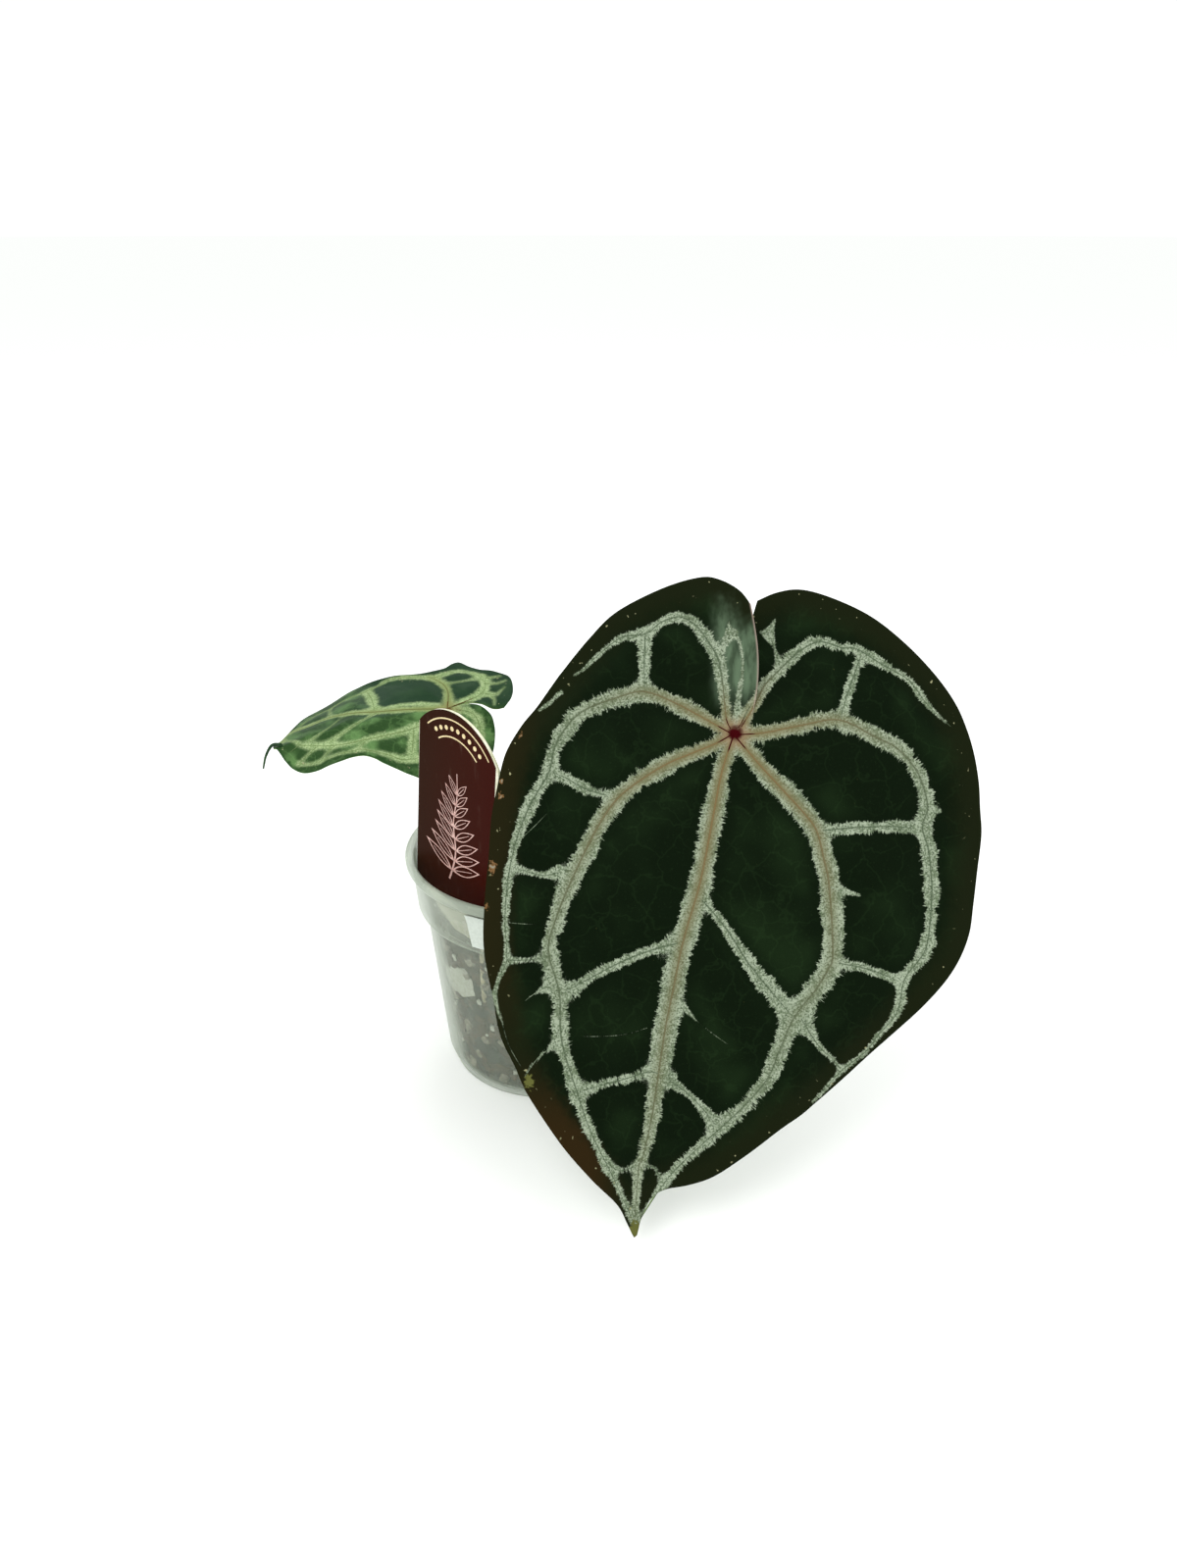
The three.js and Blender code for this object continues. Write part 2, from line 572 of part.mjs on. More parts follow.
const largeBlade = {
  flat: ([x, y]) => [(x - LARGE_HUB[0]) * LARGE_BLADE_SCALE, (LARGE_HUB[1] - y) * LARGE_BLADE_SCALE],
  base: (a, b) => {
    const point = [LARGE_HUB[0] + a / LARGE_BLADE_SCALE, LARGE_HUB[1] - b / LARGE_BLADE_SCALE];
    const fromMidrib = LARGE_ACROSS_MIDRIB[0] * a + LARGE_ACROSS_MIDRIB[1] * b;
    const along = b - LARGE_BOW_CENTRE;
    const bow = fromMidrib ** 2 / LARGE_CROSS_BOW + along ** 2 / LARGE_LENGTH_BOW - LARGE_HUB_RISE;
    return VIEW_POINT.clone().addScaledVector(viewLine(point), LARGE_BLADE_DEPTH + bow);
  },
  normal: (a, b) => bladeNormal(largeBlade.base, a, b),
  // The left lobe is folded up over the right one, and the edge is gently waved.
  lift: (around, out) => {
    const leftLobe = smoothStep(0.15, 0.7, out) * (1 - smoothStep(0, 0.12, around));
    const rightLobe = smoothStep(0.1, 0.5, out) * smoothStep(0.93, 1, around);
    const waved = smoothStep(0.1, 0.2, around) * smoothStep(1, 0.9, around);
    const wave = LARGE_EDGE_WAVE * out ** 4 * Math.sin(around * LARGE_WAVE_TURNS);
    return LEFT_LOBE_RISE * leftLobe - RIGHT_LOBE_FALL * rightLobe + wave * waved;
  },
  thickness: LARGE_BLADE_THICKNESS,
  veinDepth: 0.7,
  outline: LARGE_OUTLINE,
  firstSide: LARGE_LEFT_SINUS,
  lastSide: LARGE_RIGHT_SINUS,
  veins: LARGE_VEINS,
  rays: LARGE_RAYS,
  steps: LARGE_STEPS,
};

// The small blade is nearly level: a runs from the hub to the tip and b to the near side.
// Its near half slopes down, and its far half is level or rises.
const SMALL_BLADE_START = new THREE.Vector3(-34.5, 23.9, 132.6);
const SMALL_BLADE_HEADING = new THREE.Vector3(-0.966, -0.17, 0);
const SMALL_BLADE_TURN = 0.0026;
const SMALL_BLADE_FALL = 0.00165;
const SMALL_MIDDLE = 30;
const SMALL_HALF_LENGTH = 35;
const SMALL_FOLD_WIDTH = 3;
const NEAR_SLOPE = 0.4;
const NEAR_SLOPE_GAIN = 0.3;
const FAR_SLOPE_AT_LOBE = 0.28;
const FAR_SLOPE_AT_TIP = -0.2;
const SMALL_EDGE_WAVE = 1.1;
const SMALL_WAVE_TURNS = 31;

const smallBlade = {
  flat: (point) => smallBladePlace(point),
  base: (a, b) => {
    const heading = SMALL_BLADE_HEADING.clone().normalize();
    const side = new THREE.Vector3(-heading.y, heading.x, 0);
    const along = SMALL_BLADE_START.clone().addScaledVector(heading, a);
    along.addScaledVector(side, SMALL_BLADE_TURN * a * a);
    along.z -= SMALL_BLADE_FALL * a * a;
    const middle = Math.min(1, Math.abs(a - SMALL_MIDDLE) / SMALL_HALF_LENGTH) ** 2;
    const share = 0.5 + 0.5 * Math.tanh(b / SMALL_FOLD_WIDTH);
    const nearSlope = NEAR_SLOPE + NEAR_SLOPE_GAIN * middle;
    const farSlope = THREE.MathUtils.lerp(FAR_SLOPE_AT_LOBE, FAR_SLOPE_AT_TIP, smoothStep(-10, 62, a));
    const slope = THREE.MathUtils.lerp(farSlope, nearSlope, share);
    along.addScaledVector(side, b * Math.cos(slope));
    along.z -= b * Math.sin(slope);
    return along;
  },
  normal: (a, b) => bladeNormal(smallBlade.base, a, b),
  lift: (around, out) => SMALL_EDGE_WAVE * out ** 3 * Math.sin(around * SMALL_WAVE_TURNS),
  thickness: SMALL_BLADE_THICKNESS,
  veinDepth: 0.5,
  outline: SMALL_OUTLINE,
  firstSide: SMALL_FAR_SINUS,
  lastSide: SMALL_NEAR_SINUS,
  veins: SMALL_VEINS,
  rays: SMALL_RAYS,
  steps: SMALL_STEPS,
};

// The place on the small blade that a point of the reference view shows, found by Newton's steps.
function smallBladePlace(point) {
  const line = viewLine(point);
  const right = new THREE.Vector3().crossVectors(line, VIEW_UP).normalize();
  const up = new THREE.Vector3().crossVectors(right, line).normalize();
  const miss = (a, b) => {
    const away = smallBlade.base(a, b).sub(VIEW_POINT);
    return [away.dot(right), away.dot(up)];
  };
  let a = (SMALL_HUB[0] - point[0]) * 0.35;
  let b = (point[1] - SMALL_HUB[1]) * 0.5;
  for (let round = 0; round < 40; round += 1) {
    const [x, y] = miss(a, b);
    const [xa, ya] = miss(a + 0.01, b).map((value, i) => (value - [x, y][i]) / 0.01);
    const [xb, yb] = miss(a, b + 0.01).map((value, i) => (value - [x, y][i]) / 0.01);
    const size = xa * yb - xb * ya;
    a -= THREE.MathUtils.clamp((x * yb - y * xb) / size, -4, 4);
    b -= THREE.MathUtils.clamp((y * xa - x * ya) / size, -4, 4);
  }
  return [a, b];
}

function flatCurve(blade, points) {
  const places = points.map((point) => new THREE.Vector2(...blade.flat(point)));
  return new THREE.SplineCurve(places);
}

// A blade as a fan of rays from the hub to the outline, alike on both faces. The two outer rays
// follow the sides of the notch, and that bend fades in the rays next to them.
function bladeGeometry(blade) {
  const { rays, steps } = blade;
  const outline = flatCurve(blade, blade.outline);
  const sides = [flatCurve(blade, blade.firstSide), flatCurve(blade, blade.lastSide)];
  const hub = sides[0].getPoint(0);
  const length = outline.getLength();
  const veins = blade.veins.map((vein) => vein.map(blade.flat));
  const placeAt = (around, out) => {
    const end = outline.getPointAt(around);
    const place = hub.clone().lerp(end, out);
    sides.forEach((side, which) => {
      const sideEnd = side.getPoint(1);
      const bend = side.getPointAt(out).sub(hub.clone().lerp(sideEnd, out));
      const away = length * (which === 0 ? around : 1 - around);
      place.addScaledVector(bend, Math.exp(-away / NOTCH_BEND_REACH));
    });
    return place;
  };
  const pointAt = (around, out, under) => {
    const place = placeAt(around, out);
    const nearest = Math.min(...veins.map((vein) => distanceToPath([place.x, place.y], vein)));
    const groove = -blade.veinDepth * Math.exp(-((nearest / VEIN_GROOVE_WIDTH) ** 2));
    const rib = blade.veinDepth * Math.exp(-((nearest / VEIN_RIB_WIDTH) ** 2));
    const depth = under ? blade.thickness + rib - blade.veinDepth / 2 : 0;
    const height = blade.lift(around, out) + groove - depth;
    const normal = blade.normal(place.x, place.y);
    return blade.base(place.x, place.y).addScaledVector(normal, height);
  };
  const points = [];
  const faces = [false, true].map((under) => {
    points.push(pointAt(0, 0, under));
    const centre = points.length - 1;
    const grid = [];
    for (let ray = 0; ray <= rays; ray += 1) {
      const row = [];
      for (let step = 1; step <= steps; step += 1) {
        points.push(pointAt(ray / rays, step / steps, under));
        row.push(points.length - 1);
      }
      grid.push(row);
    }
    return { centre, grid };
  });
  const [top, bottom] = faces;
  const triangles = [];
  const quad = (a, b, c, d) => triangles.push([a, b, c], [a, c, d]);
  for (let ray = 0; ray < rays; ray += 1) {
    triangles.push([top.centre, top.grid[ray][0], top.grid[ray + 1][0]]);
    triangles.push([bottom.centre, bottom.grid[ray + 1][0], bottom.grid[ray][0]]);
    for (let step = 0; step < steps - 1; step += 1) {
      const [a, b] = [top.grid[ray][step], top.grid[ray][step + 1]];
      const [c, d] = [top.grid[ray + 1][step + 1], top.grid[ray + 1][step]];
      quad(a, b, c, d);
      const [e, f] = [bottom.grid[ray][step], bottom.grid[ray][step + 1]];
      const [g, h] = [bottom.grid[ray + 1][step + 1], bottom.grid[ray + 1][step]];
      triangles.push([e, g, f], [e, h, g]);
    }
    const last = steps - 1;
    quad(top.grid[ray][last], bottom.grid[ray][last], bottom.grid[ray + 1][last], top.grid[ray + 1][last]);
  }
  const upper = [top.centre, ...top.grid[0]];
  const lower = [bottom.centre, ...bottom.grid[0]];
  const upperEnd = [top.centre, ...top.grid[rays]];
  const lowerEnd = [bottom.centre, ...bottom.grid[rays]];
  for (let step = 0; step < steps; step += 1) {
    quad(upper[step], lower[step], lower[step + 1], upper[step + 1]);
    quad(upperEnd[step], upperEnd[step + 1], lowerEnd[step + 1], lowerEnd[step]);
  }
  return geometryFrom(points, triangles);
}

function makeSmallBlade() {
  const blade = bladeGeometry(smallBlade);
  const middle = (point) => {
    const [a, b] = smallBlade.flat(point);
    return smallBlade.base(a, b).addScaledVector(smallBlade.normal(a, b), -SMALL_BLADE_THICKNESS / 2);
  };
  const end = middle(SMALL_TIP);
  const bends = DRIP_TIP_BENDS.map((bend) => end.clone().add(new THREE.Vector3(...bend)).toArray());
  const route = [middle(DRIP_TIP_START).toArray(), end.toArray(), ...bends];
  const tip = taperedTube(route, (along) => DRIP_TIP_RADIUS * (1 - 0.6 * along), 6, 7);
  return geometryOf(solidFrom(blade).add(solidFrom(tip)));
}

function namedMesh(name, geometry, look) {
  const mesh = new THREE.Mesh(geometry, new THREE.MeshStandardMaterial({ ...look, metalness: 0 }));
  mesh.name = name;
  return mesh;
}

function labelMesh() {
  const mesh = namedMesh('plant_label', labelGeometry(0), MATERIALS.label);
  labelPlacement().decompose(mesh.position, mesh.quaternion, mesh.scale);
  return mesh;
}

const plant = new THREE.Group();
plant.add(
  namedMesh('pot', makePot(), MATERIALS.pot),
  namedMesh('substrate', makeMix(), MATERIALS.mix),
  namedMesh('crown_and_roots', makeCrown(), MATERIALS.crown),
  namedMesh('crown_sheaths', makeSheaths(), MATERIALS.sheath),
  namedMesh('large_leaf_petiole', largePetiole(0), MATERIALS.petiole),
  namedMesh('small_leaf_petiole', smallPetiole(0), MATERIALS.petiole),
  namedMesh('large_leaf_blade', bladeGeometry(largeBlade), MATERIALS.largeBlade),
  namedMesh('small_leaf_blade', makeSmallBlade(), MATERIALS.smallBlade),
  labelMesh(),
  namedMesh('pot_sticker', makeSticker(), MATERIALS.sticker),
);

export default plant;
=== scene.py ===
"""The looks of a young velvet-leaved anthurium hybrid in its frosted pot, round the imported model.

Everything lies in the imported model's frame: the origin is the middle of the underside of the pot
and +Z is up. Sizes are named in millimetres, and MM turns them into Blender's metres.
"""

from __future__ import annotations

import logging
import math
import random
from dataclasses import dataclass, field
from enum import Enum
from typing import Callable, Sequence

import bpy
import numpy as np
from mathutils import Matrix, Vector
from mathutils.bvhtree import BVHTree

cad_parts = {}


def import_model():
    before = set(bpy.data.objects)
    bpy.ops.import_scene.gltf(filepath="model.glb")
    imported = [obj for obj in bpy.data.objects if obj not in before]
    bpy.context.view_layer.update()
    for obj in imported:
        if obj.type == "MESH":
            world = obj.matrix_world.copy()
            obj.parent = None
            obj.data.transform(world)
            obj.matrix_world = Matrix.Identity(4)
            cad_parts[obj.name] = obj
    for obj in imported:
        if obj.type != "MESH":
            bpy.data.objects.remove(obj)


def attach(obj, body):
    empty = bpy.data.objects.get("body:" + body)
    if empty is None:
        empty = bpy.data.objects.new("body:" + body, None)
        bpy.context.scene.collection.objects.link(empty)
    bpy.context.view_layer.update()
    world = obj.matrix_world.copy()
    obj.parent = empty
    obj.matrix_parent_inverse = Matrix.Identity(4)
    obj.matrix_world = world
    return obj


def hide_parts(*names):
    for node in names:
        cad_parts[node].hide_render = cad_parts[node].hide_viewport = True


LOG = logging.getLogger("anthurium")
MM = 0.001

Pair = tuple[float, float]
Triple = tuple[float, float, float]
Face = tuple[int, ...]
Spot = tuple[Pair, float, float]

# The view in which the leaves' outlines were read, as points in a frame 1200 wide and 1599 tall.
VIEW_POINT = np.array([17.0, -380.8, 294.6])
VIEW_PITCH = math.radians(25.56)
VIEW_FOCAL = 1200.0
VIEW_FRAME = (1200.0, 1599.0)
SENSOR_WIDTH = 36.0
VIEW_AXIS = np.array([0.0, math.cos(VIEW_PITCH), -math.sin(VIEW_PITCH)])
VIEW_UP = np.array([0.0, math.sin(VIEW_PITCH), math.cos(VIEW_PITCH)])
VIEW_RIGHT = np.array([1.0, 0.0, 0.0])

# The pot.
SEAT_GAP = 0.3
POT_RIM_RADIUS = 50.0
POT_HEIGHT = 88.3
POT_RIM_DEPTH = 3.5
POT_WALL = 1.0
BAND_TOP_RADIUS = 47.7
BAND_FOOT_RADIUS = 46.4
LEDGE_HEIGHT = 68.6
WALL_TOP_RADIUS = 43.5
WALL_FOOT_RADIUS = 37.9
WALL_FOOT_HEIGHT = 6.5
FOOT_RADIUS = 35.9
FOOT_HEIGHT = 2.6
FLOOR_THICKNESS = 1.6
MIX_TOP = 75.0


class Axis(Enum):
    """The direction in which a pattern is stretched."""

    NONE = (1.0, 1.0, 1.0)
    UPRIGHT = (1.0, 1.0, 0.25)
    LEVEL = (0.5, 0.5, 2.0)


class Side(Enum):
    """The two faces of a blade."""

    UPPER = 1.0
    UNDER = -1.0


def linear(tone: str) -> tuple[float, float, float, float]:
    """The linear colour of a six-figure sRGB tone.

    Args:
        tone: the tone, such as "1a2a16".

    Returns:
        Red, green, blue and alpha, as Blender's sockets take them.
    """
    shares = [int(tone[i : i + 2], 16) / 255 for i in (0, 2, 4)]
    flat = [s / 12.92 if s <= 0.04045 else ((s + 0.055) / 1.055) ** 2.4 for s in shares]
    return (flat[0], flat[1], flat[2], 1.0)


class Signal:
    """A value in a material's node tree. Plus, minus and times add the nodes that they need."""

    def __init__(self, finish: Finish, socket: bpy.types.NodeSocket) -> None:
        """Keeps the output that gives the value and the tree that it is in."""
        self.finish = finish
        self.socket = socket

    def __add__(self, other: Value) -> Signal:
        """The sum of two values."""
        return self.finish.math("ADD", self, other)

    def __sub__(self, other: Value) -> Signal:
        """The difference of two values."""
        return self.finish.math("SUBTRACT", self, other)

    def __mul__(self, other: Value) -> Signal:
        """The product of two values."""
        return self.finish.math("MULTIPLY", self, other)


Value = float | Signal
Constant = float | Sequence[float]


class Finish:
    """A material's node tree, with short calls for the nodes that the finishes use."""

    def __init__(self, name: str) -> None:
        """Starts a material with one Principled shader and the object's own coordinates."""
        self.material = bpy.data.materials.new(name)
        self.material.use_nodes = True
        self.nodes = self.material.node_tree.nodes
        self.links = self.material.node_tree.links
        self.nodes.clear()
        self.shader = self.nodes.new("ShaderNodeBsdfPrincipled")
        output = self.nodes.new("ShaderNodeOutputMaterial")
        self.links.new(self.shader.outputs["BSDF"], output.inputs["Surface"])
        self.place = self.node("TexCoord", "Object")

    def put(self, target: bpy.types.NodeSocket, value: Value | Constant) -> None:
        """Sets a socket to a constant, or links it."""
        if isinstance(value, Signal):
            self.links.new(value.socket, target)
        else:
            target.default_value = value

    def plain(self, **sockets: Value | Constant) -> None:
        """Sets the shader's own sockets, named with underscores for spaces."""
        for name, value in sockets.items():
            self.put(self.shader.inputs[name.replace("_", " ")], value)

    def node(
        self, kind: str, output: str | int, inputs: dict[str | int, Value | Constant] | None = None,
        **settings: str,
    ) -> Signal:
        """Adds a node.

        Args:
            kind: its type, without the words that every type starts with.
            output: the name or number of the output that gives the value.
            inputs: its inputs by name or number, as constants or values.
            **settings: its own settings.

        Returns:
            The output's value.
        """
        node = self.nodes.new(f"ShaderNode{kind}")
        for name, value in settings.items():
            setattr(node, name, value)
        for name, value in (inputs or {}).items():
            self.put(node.inputs[name], value)
        return Signal(self, node.outputs[output])

    def attribute(self, name: str) -> Signal:
        """The value of one of the mesh's own attributes."""
        return self.node("Attribute", "Fac", attribute_type="GEOMETRY", attribute_name=name)

    def noise(self, grain: float, detail: float = 2.0, axis: Axis = Axis.NONE) -> Signal:
        """A noise from 0 to 1.

        Args:
            grain: the size of its grains, in millimetres.
            detail: the octaves of finer noise on it.
            axis: the direction in which the grains are stretched.

        Returns:
            The noise's value.
        """
        place = self.node("Mapping", "Vector", {"Scale": axis.value, "Vector": self.place})
        return self.node("TexNoise", "Fac", {"Scale": 1 / (grain * MM), "Detail": detail, "Vector": place})

    def net(self, mesh: float, wander: float) -> Signal:
        """The distance to the threads of a wandering net, as a share of its meshes.

        Args:
            mesh: the size of its meshes, in millimetres.
            wander: how far its threads wander, in millimetres.

        Returns:
            The distance, which is 0 on a thread.
        """
        bend = self.node("TexNoise", "Color", {"Scale": 2 / (mesh * MM), "Vector": self.place})
        shift = {0: bend, 1: (wander * MM,) * 3, 2: self.place}
        moved = self.node("VectorMath", "Vector", shift, operation="MULTIPLY_ADD")
        place = {"Scale": 1 / (mesh * MM), "Vector": moved}
        return self.node("TexVoronoi", "Distance", place, feature="DISTANCE_TO_EDGE")

    def fringe(self, along: Signal, across: Signal, tooth: float, length: float) -> Signal:
        """Teeth square to a line, as a noise from 0 to 1.

        Args:
            along: how far along the line a point lies, in millimetres.
            across: how far from it, in millimetres.
            tooth: the width of a tooth, in millimetres.
            length: its length, in millimetres.

        Returns:
            The noise's value.
        """
        place = self.node("CombineXYZ", "Vector", {"X": along, "Y": across * (tooth / length)})
        return self.node("TexNoise", "Fac", {"Scale": 1 / tooth, "Detail": 2.5, "Vector": place})

    def math(self, operation: str, first: Value, second: Value) -> Signal:
        """One step of arithmetic, such as ADD or MINIMUM."""
        return self.node("Math", 0, {0: first, 1: second}, operation=operation)

    def ramp(self, value: Value, low: float, high: float) -> Signal:
        """A smooth step from 0 at low to 1 at high, which may be the lower of the two."""
        first, last = (1.0, 0.0) if high < low else (0.0, 1.0)
        ends = {"From Min": min(low, high), "From Max": max(low, high), "To Min": first, "To Max": last}
        return self.node("MapRange", "Result", {"Value": value, **ends}, interpolation_type="SMOOTHSTEP")

    def between(self, share: Signal, low: float, high: float) -> Signal:
        """A value from low to high, by a share from 0 to 1."""
        return share * (high - low) + low

    def blend(self, share: Value, first: str | Signal, second: str | Signal) -> Signal:
        """A colour between two, by a share from 0 to 1."""
        tones = [linear(tone) if isinstance(tone, str) else tone for tone in (first, second)]
        return self.node("Mix", 2, {0: share, 6: tones[0], 7: tones[1]}, data_type="RGBA")

    def relief(self, height: Signal, depth: float, strength: float = 1.0) -> None:
        """Bumps the surface by a height from 0 to 1, depth millimetres high."""
        bump = {"Distance": depth * MM, "Strength": strength, "Height": height}
        self.plain(Normal=self.node("Bump", "Normal", bump))


@dataclass(frozen=True)
class Look:
    """The looks of a piece, which make its material."""

    name: str

    def make(self) -> bpy.types.Material:
        """The material."""
        raise NotImplementedError


@dataclass(frozen=True)
class BladeFinish(Look):
    """A velvety blade: dark tissue, a net of pale bands with feathered edges, and thin ribs."""

    tissue: str
    tissue_light: str
    tissue_shaded: str
    band: str
    band_bright: str
    band_dark: str
    band_warm: str
    rib: str
    rib_warm: str
    hub: str
    margin: str
    under: str
    under_band: str
    # the tone of the painted sheen: light caught on the folded lobe or in a cell, painted into the colour
    bloom: str
    feather: float
    softness: float
    margin_width: float
    hub_radius: float
    sheen: float
    specular: float
    roughness: float
    shade_reach: float = 8.0
    swell: float = 3.0
    fleck: str = "8b8a68"
    scar: str = "6e5233"
    bleach: str = "55572c"
    lip: str = "9c8a80"
    blush: str = "8a6a54"
    scar_heart: str = "7f7a69"
    mottle: float = 0.5
    patch: float = 22.0
    rim_dark: float = 0.0
    star_arm: float = 4.5

    def make(self) -> bpy.types.Material:
        """The material, which reads the blade's attributes."""
        f = Finish(self.name)
        band, run, rib, warmth, hub = map(f.attribute, ("band", "run", "rib", "warmth", "hub"))
        teeth = (f.fringe(run, band, 0.46, 2.4) - 0.5) + (f.fringe(run, band, 1.6, 4.0) - 0.5) * 0.8
        tufts = f.noise(2.6) - 0.5
        grains = f.noise(0.5)
        in_band = self.band_share(f, band, teeth, tufts, grains)
        upper = f.blend(in_band, self.tissue_tone(f, band, tufts), self.band_tone(f, band, grains, warmth))
        upper = f.blend(rib, upper, f.blend(warmth, self.rib, self.rib_warm))
        star = hub + rib * -self.star_arm + tufts * 2.4
        upper = f.blend(f.ramp(star, self.hub_radius, 0.42 * self.hub_radius), upper, self.hub)
        lower = f.blend(f.ramp(band, 0.8, -0.8), self.under, self.under_band)
        lower = f.blend(rib * 0.6, lower, self.under_band)
        f.plain(
            Base_Color=f.blend(f.attribute("under"), self.worn(f, upper), lower),
            Roughness=f.between(in_band, self.roughness, self.roughness + 0.1),
            Specular_IOR_Level=self.specular, Sheen_Weight=self.sheen, Sheen_Roughness=0.35,
            Sheen_Tint=linear("9db495"))
        f.relief(grains * 0.5 + in_band * 0.5, 0.16, 0.7)
        return f.material

    def band_share(self, f: Finish, band: Signal, teeth: Signal, tufts: Signal, grains: Signal) -> Signal:
        """How far a point lies within the pale bands, whose edges are feathered and grainy.

        Args:
            f: the material's tree.
            band: the distance past the bands' edge.
            teeth: the feathers of the edge.
            tufts: a medium noise round 0.
            grains: a fine noise.

        Returns:
            The share, from 0 to 1.
        """
        swells = (f.noise(9.0, 1.0) - 0.5) * self.swell
        ragged = teeth * self.feather + tufts * 1.6 + swells + (grains - 0.5) * 0.9
        wide = f.between(f.ramp(f.attribute("span"), 0.2, 2.3), 0.3, 1.0)
        return f.ramp(band + ragged * wide, self.softness, -self.softness)

    def tissue_tone(self, f: Finish, band: Signal, tufts: Signal) -> Signal:
        """The tissue between the bands: lighter patches, fine threads, a painted sheen and a brown margin.

        Args:
            f: the material's tree.
            band: the distance past the bands' edge.
            tufts: a medium noise round 0.

        Returns:
            The colour.
        """
        patches = f.ramp(f.noise(self.patch), 0.42, 0.72) * self.mottle
        threads = f.ramp(f.net(9.5, 7.0), 0.05, 0.0) * 0.26
        glints = f.ramp(f.noise(0.8), 0.55, 0.8) * 0.3
        away = f.between(f.ramp(band, 0.5, 5.0), 1.0 - self.rim_dark, 1.0)
        tone = f.blend((patches + (threads + glints)) * away, self.tissue, self.tissue_light)
        # painted sheen: a lighter tone in streaks where the blade marks it, standing in for light caught on
        # the blade
        streaks = f.between(f.ramp(f.noise(2.6, 3.0, Axis.UPRIGHT), 0.36, 0.62), 0.45, 1.0)
        tone = f.blend(f.attribute("bloom") * streaks, tone, self.bloom)
        edge = f.attribute("edge") + tufts * 5.0
        tone = f.blend(f.ramp(edge, self.margin_width, self.margin_width * 0.15), tone, self.margin)
        near = f.ramp(edge, self.shade_reach, self.shade_reach * 0.4)
        return f.blend(f.attribute("shaded") * near, tone, self.tissue_shaded)

    def band_tone(self, f: Finish, band: Signal, grains: Signal, warmth: Signal) -> Signal:
        """The bands: a frosty grain that is brightest along their edges, tan along the ribs.

        Args:
            f: the material's tree.
            band: the distance past the bands' edge.
            grains: a fine noise.
            warmth: how tan a point is.

        Returns:
            The colour.
        """
        rime = f.ramp(f.noise(0.6, 1.0) + f.noise(4.0, 1.0) * 0.5, 0.6, 0.88)
        edges = f.between(f.ramp(band, -2.6, -0.6), 0.7, 1.0)
        tone = f.blend(rime * edges, self.band, self.band_bright)
        tone = f.blend(f.ramp(grains, 0.48, 0.36) * 0.7, tone, self.band_dark)
        tone = f.blend(warmth, tone, self.band_warm)
        return f.blend(f.ramp(f.attribute("hub"), 6.5, 1.5) * 0.5, tone, self.blush)

    def worn(self, f: Finish, tone: Signal) -> Signal:
        """Pale flecks near the margin, dry scars, a bleached corner and a pale lip.

        Args:
            f: the material's tree.
            tone: the colour of a fresh blade.

        Returns:
            The colour of the worn one.
        """
        edge = f.attribute("edge")
        flecks = f.ramp(f.noise(1.7), 0.7, 0.74) * (f.ramp(edge, 6.5, 3.0) * f.ramp(edge, 0.4, 1.6))
        crumbs = (f.noise(1.0, 3.0) - 0.5) * 1.6
        scarred = f.attribute("scar") + crumbs
        tone = f.blend(flecks, tone, self.fleck)
        tone = f.blend(f.ramp(scarred, 0.5, 0.75), tone, self.scar)
        tone = f.blend(f.ramp(scarred, 0.8, 0.95), tone, self.scar_heart)
        tone = f.blend(f.ramp(f.attribute("bleach") + crumbs, 0.4, 0.6), tone, self.bleach)
        return f.blend(f.attribute("lip") * 0.8, tone, self.lip)


@dataclass(frozen=True)
class FrostedPlastic(Look):
    """Milky, half see-through polypropylene that is denser at grazing angles and in patches."""

    tone: str
    clouded: str
    opacity: float
    edge_opacity: float

    def make(self) -> bpy.types.Material:
        """The material, whose alpha follows the angle of view as a clouded plastic's does."""
        f = Finish(self.name)
        clouds = f.ramp(f.noise(15.0, 3.0, Axis.UPRIGHT), 0.4, 0.72)
        beads = f.ramp(f.noise(2.4), 0.66, 0.76)
        grazing = f.ramp(f.node("LayerWeight", "Facing", {"Blend": 0.5}), 0.62, 0.95)
        opacity = f.between(grazing, self.opacity, self.edge_opacity)
        opacity = opacity + clouds * 0.05 + beads * 0.12 + f.attribute("thick")
        f.plain(
            Base_Color=f.blend(clouds, self.tone, self.clouded), Alpha=f.math("MINIMUM", opacity, 1.0),
            Roughness=f.between(clouds, 0.3, 0.45), Specular_IOR_Level=0.4)
        f.relief(f.noise(5.0, 3.0), 0.12, 0.4)
        return f.material


@dataclass(frozen=True)
class GrainyFinish(Look):
    """An earthy or mineral piece: three tones in grains, with a rough broken surface."""

    dark: str
    middle: str
    light: str
    grain: float
    roughness: float
    depth: float
    axis: Axis = Axis.NONE

    def make(self) -> bpy.types.Material:
        """The material."""
        f = Finish(self.name)
        coarse = f.noise(self.grain * 3, 3.0, self.axis)
        fine = f.noise(self.grain, 4.0, self.axis)
        tone = f.blend(f.ramp(coarse, 0.3, 0.7), self.dark, self.middle)
        tone = f.blend(f.ramp(fine, 0.56, 0.74), tone, self.light)
        f.plain(Base_Color=tone, Roughness=self.roughness, Specular_IOR_Level=0.25)
        f.relief(fine, self.depth, 0.9)
        return f.material


@dataclass(frozen=True)
class StalkFinish(Look):
    """A smooth green stalk with fine lengthwise lines and warmer ends."""

    tone: str
    pale: str
    warm: str
    roughness: float

    def make(self) -> bpy.types.Material:
        """The material."""
        f = Finish(self.name)
        flecks = f.ramp(f.noise(1.1, 3.0, Axis.UPRIGHT), 0.5, 0.72) * 0.5
        tone = f.blend(f.attribute("ends"), f.blend(flecks, self.tone, self.pale), self.warm)
        f.plain(Base_Color=tone, Roughness=self.roughness, Subsurface_Weight=0.12, Subsurface_Scale=0.8 * MM)
        f.relief(f.noise(0.6, 2.0, Axis.UPRIGHT), 0.08, 0.6)
        return f.material


